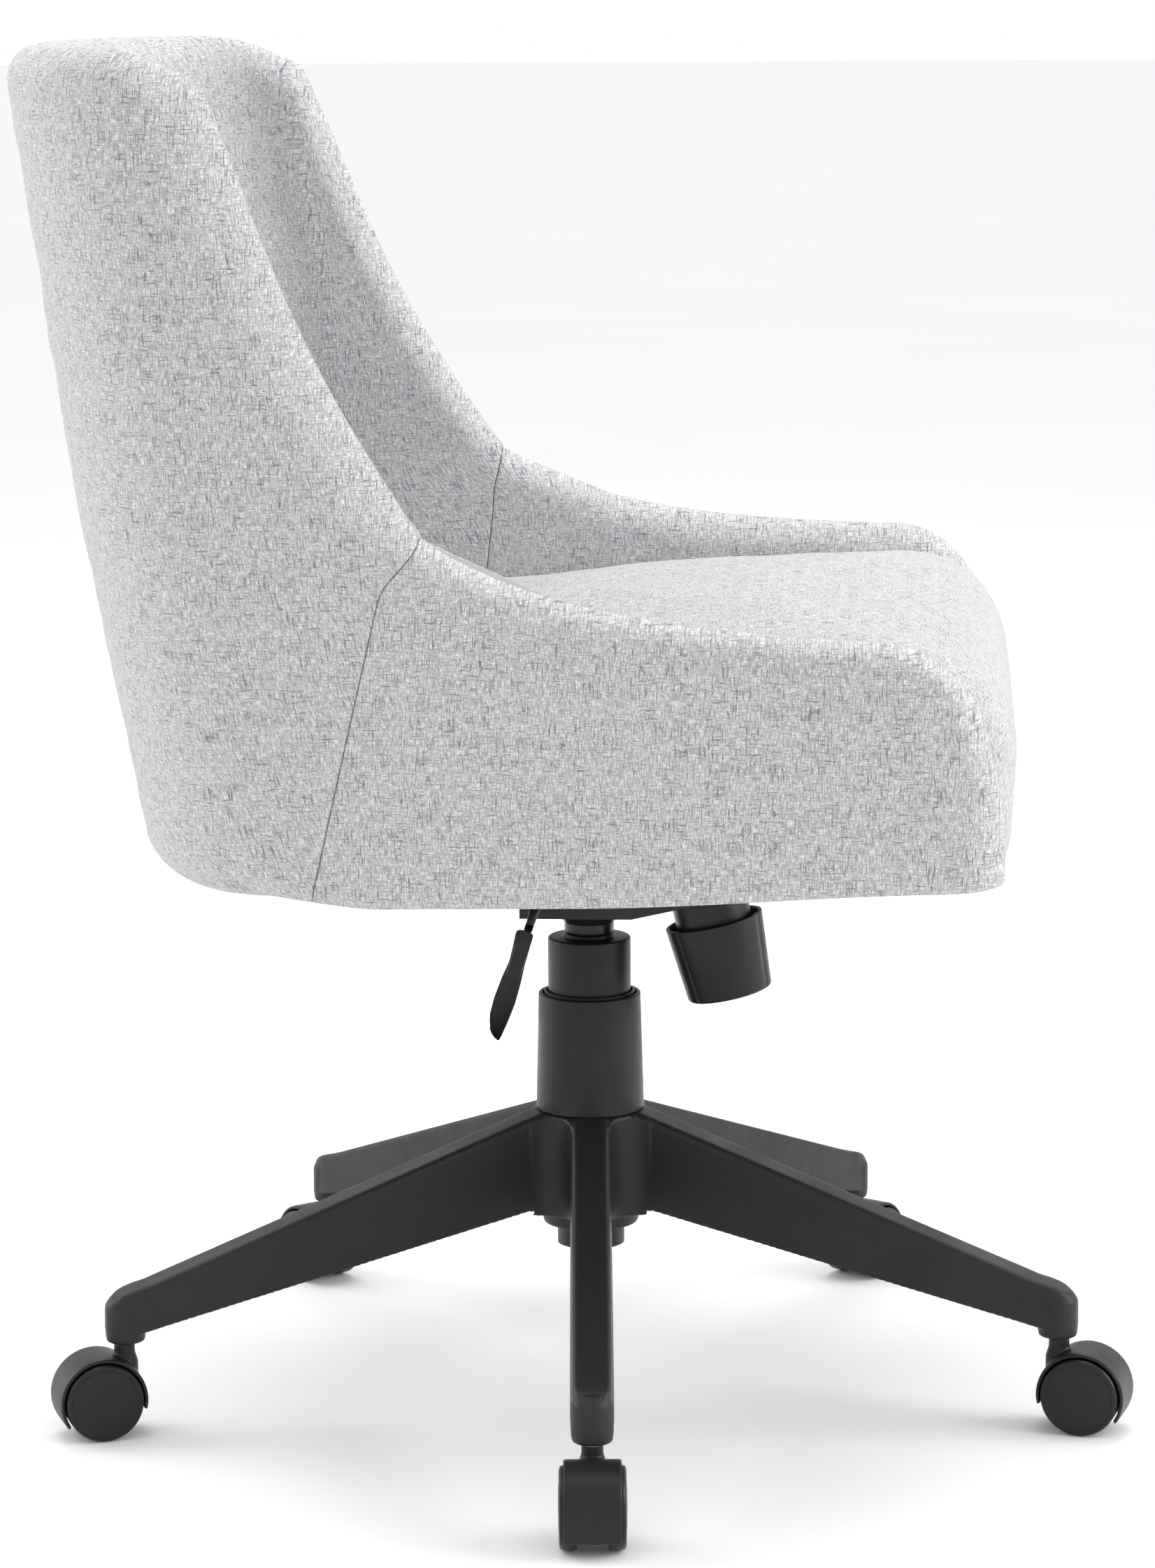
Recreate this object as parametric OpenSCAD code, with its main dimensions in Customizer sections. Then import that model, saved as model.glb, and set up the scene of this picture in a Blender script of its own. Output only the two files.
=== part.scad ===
// Upholstered bucket desk chair on a gas lift, swivel-tilt mechanism and five-star caster base.
// Millimetres. +Z up, the sitter faces -Y, the height lever is on the -X side.
// The origin is on the floor under the lift column.

/* [Base] */
// Radius of the circle of caster stems
base_r = 315; // [280:1:340]
// Turn of the star base under the seat, degrees
leg_yaw = 4.35; // [0:0.05:72]
// Height of the leg-end bosses' lower faces
boss_z = 60; // [56:1:66]
// Width of a leg
leg_w = 27; // [24:0.5:34]
// Height of the hub's top face
hub_top = 188.8; // [180:0.1:200]
// Height of the hub's lower face
hub_bottom = 112; // [104:1:120]

/* [Casters] */
// Wheel diameter
wheel_d = 50; // [48:1:60]
// Width of one wheel
wheel_w = 11.3; // [10:0.1:14]
// Gap between the two wheels of a caster
wheel_gap = 18.8; // [16:0.2:22]
// Trail from the swivel axis to the axle
trail = 17; // [12:0.5:22]
// Caster stem diameter
stem_d = 11; // [10:0.1:12]

/* [Gas lift] */
// Column tube diameter
column_d = 50; // [48:0.5:52]
// Pressure tube diameter
tube_d = 28; // [26:0.5:30]
// Height of the inner cover stage's top
cover_top = 303; // [290:1:320]
// Height of the outer cover stage's top
cover_outer_top = 266; // [250:1:280]

/* [Mechanism] */
// Tilt shaft distance in front of the column
pivot_u = 38; // [30:1:60]
// Tilt shaft height
pivot_z = 352; // [345:1:360]
// Lean of the tension knob's axis, degrees
knob_lean = 12.5; // [0:0.5:20]
// Knob diameter at its rim
knob_d = 64; // [56:1:70]
// Rise of the seat board to the front, degrees
rake = 2.3; // [0:0.1:5]
// Height of the seat board's lower face at the column
board_z = 387; // [380:1:395]

/* [Upholstered shell] */
// Height of the top of the back
top_z = 881; // [840:1:920]
// Height of the points where the wings meet the arms
kink_z = 595; // [570:1:620]
// Height of the arm tops near the front
arm_z = 536; // [520:1:560]
// Front of the arms
arm_front = 266; // [240:1:290]
// Front of the seat cushion
seat_front = 274.5; // [250:0.5:300]
// Height of the seat cushion's crown over its board
crown = 149; // [130:0.5:170]
// Padding thickness of arms and wings
pad_t = 46; // [36:1:60]
// Outward splay of the sides, mm per mm forward
splay = 0.125; // [0:0.005:0.2]
// Plywood shell thickness
ply = 10; // [8:1:15]
// Seat board thickness
board_t = 15; // [12:1:18]

/* [Quality] */
// Facets of round shapes
fn_round = 64; // [32:4:96]

/* [Hidden] */
$fn = fn_round;
eps = 0.05;
yoke_z = 348.8;
plastic = [0.16, 0.16, 0.17];
steel = [0.70, 0.71, 0.73];
black_steel = [0.10, 0.10, 0.11];
fabric = [0.74, 0.74, 0.77];
wood = [0.80, 0.66, 0.46];
foam = [0.62, 0.62, 0.65];

// ---- shell surface: u forward, v sideways; both in mm ----
n_plan = 2.35;
t_side = 0.74;
function smooth(x) = let(t = min(1, max(0, x))) t * t * (3 - 2 * t);
function base_z(u) = board_z - 4.5 + u * tan(rake);
function hang(u) = 7.5 * smooth((u + 147) / 56) * smooth((245 - u) / 230);
function rim_z(u) = base_z(u) - hang(u);
function rear_u(z) = -274 - 0.168 * (z - 370) - 3.5 * sin(180 * (z - 370) / 493);
function corner_u(z) = -150 - 0.155 * (z - 380);
function half_w(z) = z < 590 ? 275 - 13 * pow((590 - z) / 214, 2) : 275 - 26 * pow((z - 590) / 267, 1.2);
function side_w(u, z) = half_w(z) + splay * max(0, u - corner_u(z));
function seam_u(z) = -146 + 0.245 * (z - 380) + 15 * smooth((z - 560) / 35);
function ridge_u(z) = -78 - 0.529 * (z - kink_z) - 9 * sin(0.9 * (z - kink_z));
function wing_u(z) = z < kink_z ? seam_u(z) : ridge_u(z);
function back_top(u) = top_z - 24 * pow(max(0, (u + 310) / 100), 3);
function round_f(d, r) = d >= r ? 1 : max(0.22, sqrt(max(0, 1 - pow((r - max(0, d)) / r, 2))));

// plan path of the back and wings at height z, t from -1 (right wing) to 1 (left wing)
function plan(t, z) = let(a = abs(t), s = t < 0 ? -1 : 1, w = half_w(z), c = corner_u(z), b = c - rear_u(z))
    a <= t_side
    ? let(q = 90 * a / t_side)
        [s * w * pow(max(0, sin(q)), 2 / n_plan), c - b * pow(max(0, cos(q)), 2 / n_plan)]
    : let(u = c + (a - t_side) / (1 - t_side) * (wing_u(z) - c))
        [s * (w + splay * (u - c)), u];
function plan_n(t, z) = let(p = plan(min(1, t + 0.01), z), m = plan(max(-1, t - 0.01), z), d = p - m,
        f = smooth((abs(t) - t_side) / (1 - t_side)), n = [d[1], -d[0] * (1 - f)])
    n / norm(n);

back_t = [-1, -0.975, -0.93, -0.86, -0.74, -0.66, -0.58, -0.48, -0.36, -0.2, 0,
    0.2, 0.36, 0.48, 0.58, 0.66, 0.74, 0.86, 0.93, 0.975, 1];
back_q = [0, 0.02, 0.1, 0.22, 0.34, 0.38, 0.4, 0.42, 0.44, 0.47, 0.52, 0.62, 0.74, 0.84, 0.91, 0.955,
    0.985, 1];

function back_z(t, q, low, drop) =
    let(hi = back_top(plan(t, 868)[1]) - drop, lo = base_z(plan(t, 380)[1]) + low)
    lo + q * (hi - lo);
// thickness side: +1 outer surface, -1 inner surface
function back_pt(t, q, side) = let(
        z = back_z(t, q, 0, 0),
        p = plan(t, z),
        n = plan_n(t, z),
        th = pad_t + 16 * pow(cos(90 * min(1, abs(t) / t_side)), 2) * (1 - q),
        dz = back_z(t, 1, 0, 0) - z,
        du = abs(t) > 0.5 ? wing_u(z) - p[1] : 999,
        open = smooth((z - kink_z + 14) / 28),
        g = round_f(dz, 24) * (1 - open + open * round_f(du, side > 0 ? 34 : 22)),
        gb = q == 0 ? 0.86 : 1,
        m = p - n * th / 2)
    let(o = m + n * side * g * gb * th / 2) [o[0], -o[1], z];
// plywood shell inside the back's padding
function ply_pt(t, q, side, grow) = let(
        tt = t * (0.925 + grow * 0.012),
        z = back_z(tt, q, 6.4 - grow, 44 - grow),
        p = plan(tt, z),
        n = plan_n(tt, z),
        th = pad_t + 16 * pow(cos(90 * min(1, abs(tt) / t_side)), 2) * (1 - q * 0.94),
        m = p - n * th / 2,
        o = m + n * side * (ply / 2 + grow))
    [o[0], -o[1], z];

// slab between an outer and an inner grid of points, ni x nj cells
module slab(outer, inner, ni, nj) {
    k = (ni + 1) * (nj + 1);
    faces = concat(
        [for (i = [0:ni - 1]) for (j = [0:nj - 1]) let(a = i * (nj + 1) + j, b = a + nj + 1) each
            [[a, b, b + 1], [a, b + 1, a + 1], [k + a, k + b + 1, k + b], [k + a, k + a + 1, k + b + 1]]],
        [for (i = [0:ni - 1]) let(a = i * (nj + 1), b = a + nj + 1) each
            [[b, a, k + a], [b, k + a, k + b],
             [a + nj, b + nj, k + b + nj], [a + nj, k + b + nj, k + a + nj]]],
        [for (j = [0:nj - 1]) let(a = j, b = ni * (nj + 1) + j) each
            [[a, a + 1, k + a + 1], [a, k + a + 1, k + a], [b + 1, b, k + b], [b + 1, k + b, k + b + 1]]]);
    polyhedron(points = concat(outer, inner), faces = faces, convexity = 8);
}

// arms: a along the arm from the seam (0) to the front (1), q from the rim to the ridge
function arm_ridge(u) = arm_z + 59 * exp(-(max(u, -78.3) + 78) / 92) - 33 * pow(max(0, (u - 190) / 59), 2.5);
function seam_at(q, n) = n == 0 ? seam_u(377 + q * 218)
    : let(u = seam_at(q, n - 1)) seam_u(rim_z(u) + q * (arm_ridge(u) - rim_z(u)));
function arm_end(q) = arm_front - 17 * pow(q, 4) - (q < 0.06 ? 11 * pow(1 - q / 0.06, 2) : 0);
function arm_uz(a, q) = let(
        u0 = seam_at(q, 5) + (q == 0 ? 2 : 0.6),
        u = u0 + a * (arm_end(q) - u0),
        z = rim_z(u) + q * (arm_ridge(u) - rim_z(u)))
    [u, z];
function arm_pt(a, q, side, s) = let(
        c = arm_uz(a, q),
        u = c[0],
        z = c[1],
        g = round_f(arm_ridge(u) - z, 23) * round_f(arm_end(q) - u, 20) * (q == 0 ? 0.86 : 1),
        m = side_w(u, z) - pad_t / 2)
    [s * (m + side * g * pad_t / 2), -u, z];
function arm_ply(a, q, side, s, grow) = let(
        u0 = seam_at(q, 5) + 14 - grow,
        u = u0 + a * (arm_end(q) - 34 + 2 * grow - u0),
        lo = base_z(u) + 4.6 - grow,
        z = lo + q * (arm_ridge(u) - 38 + grow - lo))
    [s * (side_w(u, z) - pad_t / 2 + side * (ply / 2 + grow)), -u, z];
arm_a = [0, 0.08, 0.18, 0.3, 0.44, 0.58, 0.7, 0.8, 0.88, 0.94, 0.98, 1];
arm_q = [0, 0.05, 0.2, 0.4, 0.58, 0.74, 0.84, 0.88, 0.92, 0.96, 0.985, 1];

module raked() {
    translate([0, 0, board_z]) rotate([-rake, 0, 0]) children();
}

// ---- star base ----
function leg_top(r) = r < 36 ? hub_top - 0.2
    : r < 300 ? hub_top + 0.6 - (r - 36) * 0.349
    : hub_top + 0.6 - 264 * 0.349 - (r - 300) * 0.25;
function leg_low(r) = 127 - (r - 35) * 0.222;
leg_r = [26, 35.9, 50, 90, 150, 210, 270, 300, 315];
function leg_ring(r, inset, drop) = let(t = leg_top(r) - drop, b = leg_low(r) - (inset > 0 ? 4 : 0),
        w = leg_w / 2 - inset)
    [[r, -w + 0.6, b], [r, -w, t - 8], [r, -w + 1.2, t - 3.6], [r, -w + 4.4, t],
     [r, w - 4.4, t], [r, w - 1.2, t - 3.6], [r, w, t - 8], [r, w - 0.6, b]];
module loft(rings) {
    m = len(rings[0]);
    n = len(rings);
    polyhedron(points = [for (g = rings) each g], faces = concat(
        [[for (i = [m - 1:-1:0]) i]],
        [for (k = [0:n - 2]) for (i = [0:m - 1]) let(a = k * m + i, b = k * m + (i + 1) % m) each
            [[a, b, b + m], [a, b + m, a + m]]],
        [[for (i = [0:m - 1]) (n - 1) * m + i]]), convexity = 6);
}
module leg() {
    difference() {
        union() {
            loft([for (r = leg_r) leg_ring(r, 0, 0)]);
            translate([base_r - 1, 0, boss_z]) cylinder(d = 26, h = 28);
            translate([base_r - 1, 0, boss_z + 28]) cylinder(d1 = 26, d2 = 20, h = 3);
        }
        loft([for (r = [44, 60, 100, 160, 220, 270, 292]) leg_ring(r, 3.2, 3.4)]);
    }
    for (r = [84, 124, 164, 204, 244]) translate([r, -leg_w / 2 + 2, leg_low(r) + 2])
        cube([2.4, leg_w - 4, leg_top(r) - leg_low(r) - 7]);
}
module star_base() color(plastic) difference() {
    union() {
        for (k = [0:4]) rotate([0, 0, 180 + leg_yaw + 72 * k]) leg();
        translate([0, 0, hub_bottom]) cylinder(r1 = 31, r2 = 37, h = hub_top - hub_bottom);
        for (k = [0:4]) rotate([0, 0, 180 + leg_yaw + 36 + 72 * k]) translate([33, 0, hub_bottom + 10])
            cylinder(r1 = 9, r2 = 10, h = hub_top - hub_bottom - 12);
    }
    translate([0, 0, hub_bottom - 1]) cylinder(r = 23.55, h = 1.01);
    translate([0, 0, hub_bottom]) cylinder(r1 = 23.55, r2 = column_d / 2 + eps, h = hub_top - hub_bottom);
    translate([0, 0, hub_top - 0.01]) cylinder(r = column_d / 2 + eps, h = 6);
    for (k = [0:4]) rotate([0, 0, 180 + leg_yaw + 72 * k]) translate([base_r, 0, boss_z - 1])
        cylinder(d = stem_d + 0.12, h = 25);
}

// ---- gas lift ----
module column_tube() color(black_steel) difference() {
    union() {
        translate([0, 0, 98]) cylinder(r = 22, h = 14);
        translate([0, 0, hub_bottom]) cylinder(r1 = 23.5, r2 = column_d / 2, h = hub_top - hub_bottom);
        translate([0, 0, hub_top]) cylinder(r = column_d / 2, h = 254 - hub_top);
    }
    translate([0, 0, 107]) cylinder(r = 20, h = 9);
    translate([0, 0, 116]) cylinder(r = 21.5, h = 140);
    translate([0, 0, 97]) cylinder(r = 5.06, h = 12);
    translate([0, 0, 97]) cylinder(r = 14, h = 4);
}
module guide_bush() color(plastic) difference() {
    union() {
        translate([0, 0, 200]) cylinder(r = 21.4, h = 54.05);
        translate([0, 0, 254.05]) cylinder(r = 24.6, h = 2.9);
    }
    translate([0, 0, 199]) cylinder(r = tube_d / 2 + eps, h = 60);
}
module thrust_bearing() color(steel) translate([0, 0, 107.05]) difference() {
    cylinder(r = 18, h = 5.85);
    translate([0, 0, -1]) cylinder(r = 8, h = 8);
    translate([0, 0, 2]) difference() {
        cylinder(r = 19, h = 1.85);
        translate([0, 0, -1]) cylinder(r = 15.5, h = 4);
    }
}
module piston_rod() color(steel) {
    difference() {
        union() {
            translate([0, 0, 96.5]) cylinder(r = 5, h = 128);
            translate([0, 0, 113]) cylinder(r = 9, h = 3);
            translate([0, 0, 213]) cylinder(r = 11.93, h = 12);
        }
        translate([0, 0, 99.2]) difference() {
            cylinder(r = 6, h = 1.7);
            translate([0, 0, -1]) cylinder(r = 4, h = 4);
        }
    }
}
module retaining_clip() color(steel) translate([0, 0, 99.25]) difference() {
    cylinder(r = 10, h = 1.6);
    translate([0, 0, -1]) cylinder(r = 4.05, h = 4);
    translate([2, -4.05, -1]) cube([12, 8.1, 4]);
}
module pressure_tube() color(black_steel) difference() {
    union() {
        translate([0, 0, 159.6]) cylinder(d = tube_d, h = 140.4);
        translate([0, 0, 300]) cylinder(r1 = tube_d / 2, r2 = tube_d / 2 - 0.8, h = 42);
    }
    translate([0, 0, 163]) cylinder(r = 12, h = 162);
    translate([0, 0, 158]) cylinder(r = 5.06, h = 8);
    translate([0, 0, 324]) cylinder(r = 4.06, h = 20);
}
module release_button() color(steel) {
    translate([0, 0, 331]) cylinder(r = 4, h = 17.4);
    translate([0, 0, 316]) cylinder(r = 6.5, h = 5);
    translate([0, 0, 320.9]) cylinder(r = 2.5, h = 10.2);
}
module cover_outer() color(plastic) difference() {
    translate([0, 0, hub_top + 0.05]) cylinder(r1 = 35.4, r2 = 33.3, h = cover_outer_top - hub_top);
    translate([0, 0, hub_top + 2]) cylinder(r = 30.7, h = 90);
    translate([0, 0, hub_top - 1]) cylinder(r = 25.6, h = 4);
}
module cover_middle() color(plastic) difference() {
    translate([0, 0, 207]) cylinder(r = 29.7, h = 61);
    translate([0, 0, 206]) cylinder(r = 28, h = 64);
}
module cover_inner() color(plastic) difference() {
    union() {
        translate([0, 0, 233.4]) cylinder(r = 27, h = cover_top - 233.4);
        translate([0, 0, cover_top - 0.01]) cylinder(r = 16.4, h = 2.6);
    }
    translate([0, 0, 232]) cylinder(r = 25.4, h = cover_top - 232 - 2.5);
    translate([0, 0, cover_top - 4]) cylinder(r = tube_d / 2 + 0.03, h = 10);
    for (a = [45:90:315]) rotate([0, 0, a]) translate([18.5, 0, cover_top - 1])
        cylinder(d = 2.6, h = 3, $fn = 20);
}

// ---- casters ----
module at_leg(k) {
    rotate([0, 0, 180 + leg_yaw + 72 * (k - 1)]) translate([base_r, 0, 0]) children();
}
module along_y(h) {
    rotate([90, 0, 0]) cylinder(r = h[0], h = h[1], center = true);
}
module caster_hood(k) color(plastic) at_leg(k) difference() {
    union() {
        intersection() {
            translate([trail, 0, wheel_d / 2]) difference() {
                along_y([28.5, 35]);
                along_y([26, 36]);
            }
            union() {
                translate([-30, -20, wheel_d / 2 - 6.5]) cube([trail + 30, 40, 40]);
                translate([trail - 1, -20, wheel_d / 2 - 15]) cube([40, 40, 60]);
            }
        }
        translate([trail, 0, wheel_d / 2]) intersection() {
            along_y([26.5, 8]);
            translate([-30, -10, -6.5]) cube([60, 20, 40]);
        }
        translate([trail, 0, wheel_d / 2]) along_y([8, wheel_gap - 0.4]);
        translate([0, 0, 26]) cylinder(d = 17, h = 20);
        translate([0, 0, 44]) cylinder(d = 13.2, h = boss_z - 44.6);
    }
    translate([0, 0, 30]) cylinder(d = stem_d + 0.02, h = 40);
    translate([trail, 0, wheel_d / 2]) along_y([4.02, 60]);
}
module caster_pins(k) color(steel) at_leg(k) {
    translate([0, 0, 32]) cylinder(d = stem_d, h = boss_z + 22 - 32);
    translate([0, 0, boss_z - 0.55]) cylinder(d = 16, h = 0.5);
    translate([trail, 0, wheel_d / 2]) along_y([4, wheel_gap + 18]);
}
module wheel(k, s) color(black_steel) at_leg(k) translate([trail, s * (wheel_gap + wheel_w) / 2, wheel_d / 2])
    rotate([-90 * s, 0, 0]) difference() {
        rotate_extrude() polygon([[4.06, -wheel_w / 2], [wheel_d / 2 - 0.8, -wheel_w / 2],
            [wheel_d / 2, -wheel_w / 2 + 0.8], [wheel_d / 2, wheel_w / 2 - 2.4],
            [wheel_d / 2 - 1.4, wheel_w / 2 - 0.9], [wheel_d / 2 - 3.4, wheel_w / 2 - 0.4],
            [wheel_d / 2 - 4.2, wheel_w / 2 - 0.9], [8, wheel_w / 2], [0, wheel_w / 2],
            [0, wheel_w / 2 - 1.6], [4.06, wheel_w / 2 - 1.6]]);
    }

// ---- mechanism, profiles drawn in (u, z) and stood up across the chair ----
module across(w) {
    rotate([90, 0, -90]) linear_extrude(w, center = true, convexity = 6) children();
}
module knob_axis() {
    translate([0, -77.3, 332.5]) rotate([-knob_lean, 0, 0]) children();
}
module housing() color(black_steel) difference() {
    union() {
        across(82) polygon([[-42, 322], [30, 322], [118, 341.5], [118, 344.6], [29.7, 325], [-42, 325]]);
        for (s = [-1, 1]) translate([s * 39.5, 0, 0]) across(3) union() {
            polygon([[-42, 322], [30, 322], [118, 341.5], [118, 364], [62, 366], [38, 366],
                [0, 358], [-42, 358]]);
            translate([pivot_u, pivot_z]) circle(r = 15);
        }
        for (s = [-1, 1]) translate([s > 0 ? 24 : -41, 28, 357]) cube([17, 14, 3]);
        for (y = [-13, 29]) translate([-37.6, y, 324]) cube([9, 4, 31]);
    }
    translate([0, 0, 320]) cylinder(d = 38.1, h = 8);
    knob_axis() translate([0, 0, -3]) cylinder(d = 15, h = 12);
    translate([0, -pivot_u, pivot_z]) rotate([0, 90, 0]) cylinder(r = 6.05, h = 100, center = true);
    translate([-44, 20, 356]) rotate([0, 90, 0]) cylinder(d = 20, h = 10);
    translate([-33, -20, yoke_z]) rotate([-90, 0, 0]) cylinder(r = 2.55, h = 60);
}
module cone_socket() color(black_steel) difference() {
    union() {
        translate([0, 0, 306]) cylinder(d = 32.4, h = 7.1);
        translate([0, 0, 313]) cylinder(d1 = 32.4, d2 = 40, h = 5);
        translate([0, 0, 317.9]) cylinder(d = 44, h = 4.05);
        translate([0, 0, 320]) cylinder(d = 38, h = 20);
    }
    translate([0, 0, 300]) cylinder(r1 = tube_d / 2 + eps, r2 = tube_d / 2 - 0.8 + eps, h = 42);
}
module spring_sleeve() color(black_steel) knob_axis() difference() {
    translate([0, 0, -44]) cylinder(d = 49.6, h = 43.9);
    translate([0, 0, -45]) cylinder(d = 46, h = 42);
    translate([0, 0, -4]) cylinder(d = 15, h = 5);
}
module rubber_stops() color(black_steel) for (s = [-1, 1])
    translate([s * 32, 35, 360.05]) cylinder(d = 12, h = 6.1);
module tilt_shaft() color(steel) translate([0, -pivot_u, pivot_z]) rotate([0, 90, 0]) {
    cylinder(r = 6, h = 98, center = true);
    for (s = [-1, 1]) translate([0, 0, s * 49.4]) cylinder(r = 8.5, h = 2.4, center = true);
}
module seat_plate() color(black_steel) difference() {
    union() {
        raked() translate([-85, -110, -3.05]) cube([170, 200, 3]);
        for (s = [-1, 1]) translate([s * 45.6, 0, 0]) across(3) union() {
            polygon([[14, 385.9], [66, 388], [58, 350], [50, 344], [26, 344], [18, 352]]);
            translate([pivot_u, pivot_z]) circle(r = 13);
        }
        for (s = [-1, 1]) translate([s * 35, 0, 0]) across(3)
            polygon([[56, 387.6], [92, 389], [84, 350], [78, 344], [68, 344], [62, 350]]);
    }
    translate([0, -pivot_u, pivot_z]) rotate([0, 90, 0]) cylinder(r = 6.05, h = 120, center = true);
    knob_axis() translate([0, 0, 22]) rotate([0, 90, 0]) cylinder(r = 4.05, h = 90, center = true);
    raked() for (x = [-70, 70]) for (y = [-92, 72]) translate([x, y, -5]) cylinder(d = 8.4, h = 8);
}
module tension_pin() color(steel) knob_axis() translate([0, 0, 22]) rotate([0, 90, 0])
    cylinder(r = 4, h = 74, center = true);
module tension_bolt() color(steel) knob_axis() difference() {
    union() {
        translate([0, 0, -60]) cylinder(d = 10, h = 76);
        translate([0, 0, 22]) rotate([0, 90, 0]) cylinder(d = 19, h = 10, center = true);
    }
    translate([0, 0, 22]) rotate([0, 90, 0]) cylinder(r = 4.65, h = 20, center = true);
}
// helical wire as a closed swept ring of points
module tension_spring() color(steel) knob_axis() {
    turns = 4.5;
    steps = 90;
    m = 8;
    pts = [for (i = [0:steps]) let(a = 360 * turns * i / steps, z = -45.2 + 39.2 * i / steps) each
        [for (j = [0:m - 1]) let(b = 360 * j / m)
            [(17.6 + 2.4 * cos(b)) * cos(a), (17.6 + 2.4 * cos(b)) * sin(a), z + 2.4 * sin(b)]]];
    loft([for (i = [0:steps]) [for (j = [0:m - 1]) pts[i * m + m - 1 - j]]]);
}
module thrust_washer() color(steel) knob_axis() translate([0, 0, -50.5]) difference() {
    cylinder(d = 42, h = 2.5);
    translate([0, 0, -1]) cylinder(d = 10.6, h = 5);
}
module tension_knob() color(plastic) knob_axis() rotate_extrude() polygon([[0, -68], [knob_d / 2 - 4.6, -68],
    [knob_d / 2 - 3.4, -66.8], [knob_d / 2, -18.6], [knob_d / 2 - 0.6, -18], [knob_d / 2 - 2.4, -18],
    [knob_d / 2 - 5.7, -64], [17, -64], [17, -50.6], [5.06, -50.6], [5.06, -63.9], [0, -63.9]]);
module lever_yoke() color(black_steel) difference() {
    union() {
        translate([-37, -6, 348.7]) cube([46, 33, 3]);
        translate([-26, 20, 356]) rotate([0, 90, 0]) cylinder(d = 13, h = 34);
        translate([-33, -8.5, yoke_z]) rotate([-90, 0, 0]) cylinder(d = 9, h = 37);
        translate([-26, 15, 349]) cube([34, 10, 5]);
    }
    translate([-50, 20, 356]) rotate([0, 90, 0]) cylinder(d = 8.12, h = 70);
    translate([-33, -20, yoke_z]) rotate([-90, 0, 0]) cylinder(r = 2.56, h = 60);
}
module yoke_pin() color(steel) translate([-33, -14, yoke_z]) rotate([-90, 0, 0]) cylinder(r = 2.5, h = 48);
module lever_rod() color(black_steel) {
    translate([-166, 20, 356]) rotate([0, 90, 0]) cylinder(d = 8, h = 168);
    translate([-166, 20, 356]) rotate([18.4, 0, 0]) translate([-4, -2.6, -44]) cube([8, 5.2, 44]);
}
function paddle_w(f) = 7.3 * pow(sin(180 * pow(f, 0.62)), 0.4);
module lever_paddle() color(plastic) translate([-166, 20, 356]) rotate([18.4, 0, 0]) difference() {
    intersection() {
        translate([0, 0, -92]) rotate([90, 0, 90]) linear_extrude(16, center = true, convexity = 6)
            polygon(concat(
                [for (i = [0:24]) [i < 24 ? paddle_w(i / 24) : 0, 76 * i / 24]],
                [for (i = [23:-1:1]) [-paddle_w(i / 24), 76 * i / 24]]));
        translate([-40, 0, -54]) rotate([90, 0, 0]) difference() {
            cylinder(r = 46.5, h = 60, center = true);
            cylinder(r = 33, h = 61, center = true);
        }
    }
    translate([-4.15, -2.75, -44.2]) cube([8.3, 5.5, 60]);
    translate([-62, 0, -54]) rotate([90, 0, 0]) cylinder(r = 60, h = 90, center = true);
}
module plate_bolts() color(steel) raked() for (x = [-70, 70]) for (y = [-92, 72]) translate([x, y, 0]) {
    translate([0, 0, -8.6]) cylinder(d = 13, h = 5.5, $fn = 6);
    translate([0, 0, -3.2]) cylinder(d = 7.8, h = 3.3);
    translate([0, 0, 0]) cylinder(d = 7.8, h = board_t - 2);
}

// ---- frame boards ----
// inside of the bucket at height z, one side: f = 0 rear centre, 0.5 corner, 1 front end of the arm
function bucket(f, z, gap, front) = f < 0.5
    ? let(t = t_side * f / 0.5, p = plan(t, z), n = plan_n(t, z),
        th = pad_t + 16 * pow(cos(90 * t / t_side), 2) * (1 - (z - 377) / 504))
        p - n * (th + gap + 3.4 * smooth((0.5 - f) / 0.12))
    : let(c = corner_u(z), u = c + (f - 0.5) / 0.5 * (front - c))
        [side_w(u, z) - pad_t - gap, u];
function inner_w(u, cut) = half_w(460) - pad_t - cut + splay * (u - corner_u(460));
board_f = [0.03, 0.1, 0.18, 0.26, 0.34, 0.42, 0.5, 0.75, 1];
board_side = [for (f = board_f) bucket(f, 394, 2.8, 240)];
module board_outline() polygon(concat(
    [for (p = board_side) [-p[0], -p[1]]],
    [[-board_side[8][0] + 4, -250], [-board_side[8][0] + 9, -254], [board_side[8][0] - 9, -254],
        [board_side[8][0] - 4, -250]],
    [for (i = [len(board_side) - 1:-1:0]) [board_side[i][0], -board_side[i][1]]]));
module seat_board() color(wood) raked() difference() {
    linear_extrude(board_t) board_outline();
    for (x = [-70, 70]) for (y = [-92, 72]) translate([x, y, -1]) cylinder(d = 7.9, h = board_t);
    screw_holes(2.1);
}
module slab_back(grow) slab(
    [for (t = back_t) for (q = [0, 0.2, 0.4, 0.6, 0.8, 1]) ply_pt(t, q, 1, grow)],
    [for (t = back_t) for (q = [0, 0.2, 0.4, 0.6, 0.8, 1]) ply_pt(t, q, -1, grow)], len(back_t) - 1, 5);
module slab_arm(s, grow) {
    along = s > 0 ? [0, 0.25, 0.5, 0.75, 0.9, 1] : [1, 0.9, 0.75, 0.5, 0.25, 0];
    up = [0, 0.3, 0.6, 0.85, 1];
    slab([for (a = along) for (q = up) arm_ply(a, q, 1, s, grow)],
        [for (a = along) for (q = up) arm_ply(a, q, -1, s, grow)], 5, 4);
}
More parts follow.
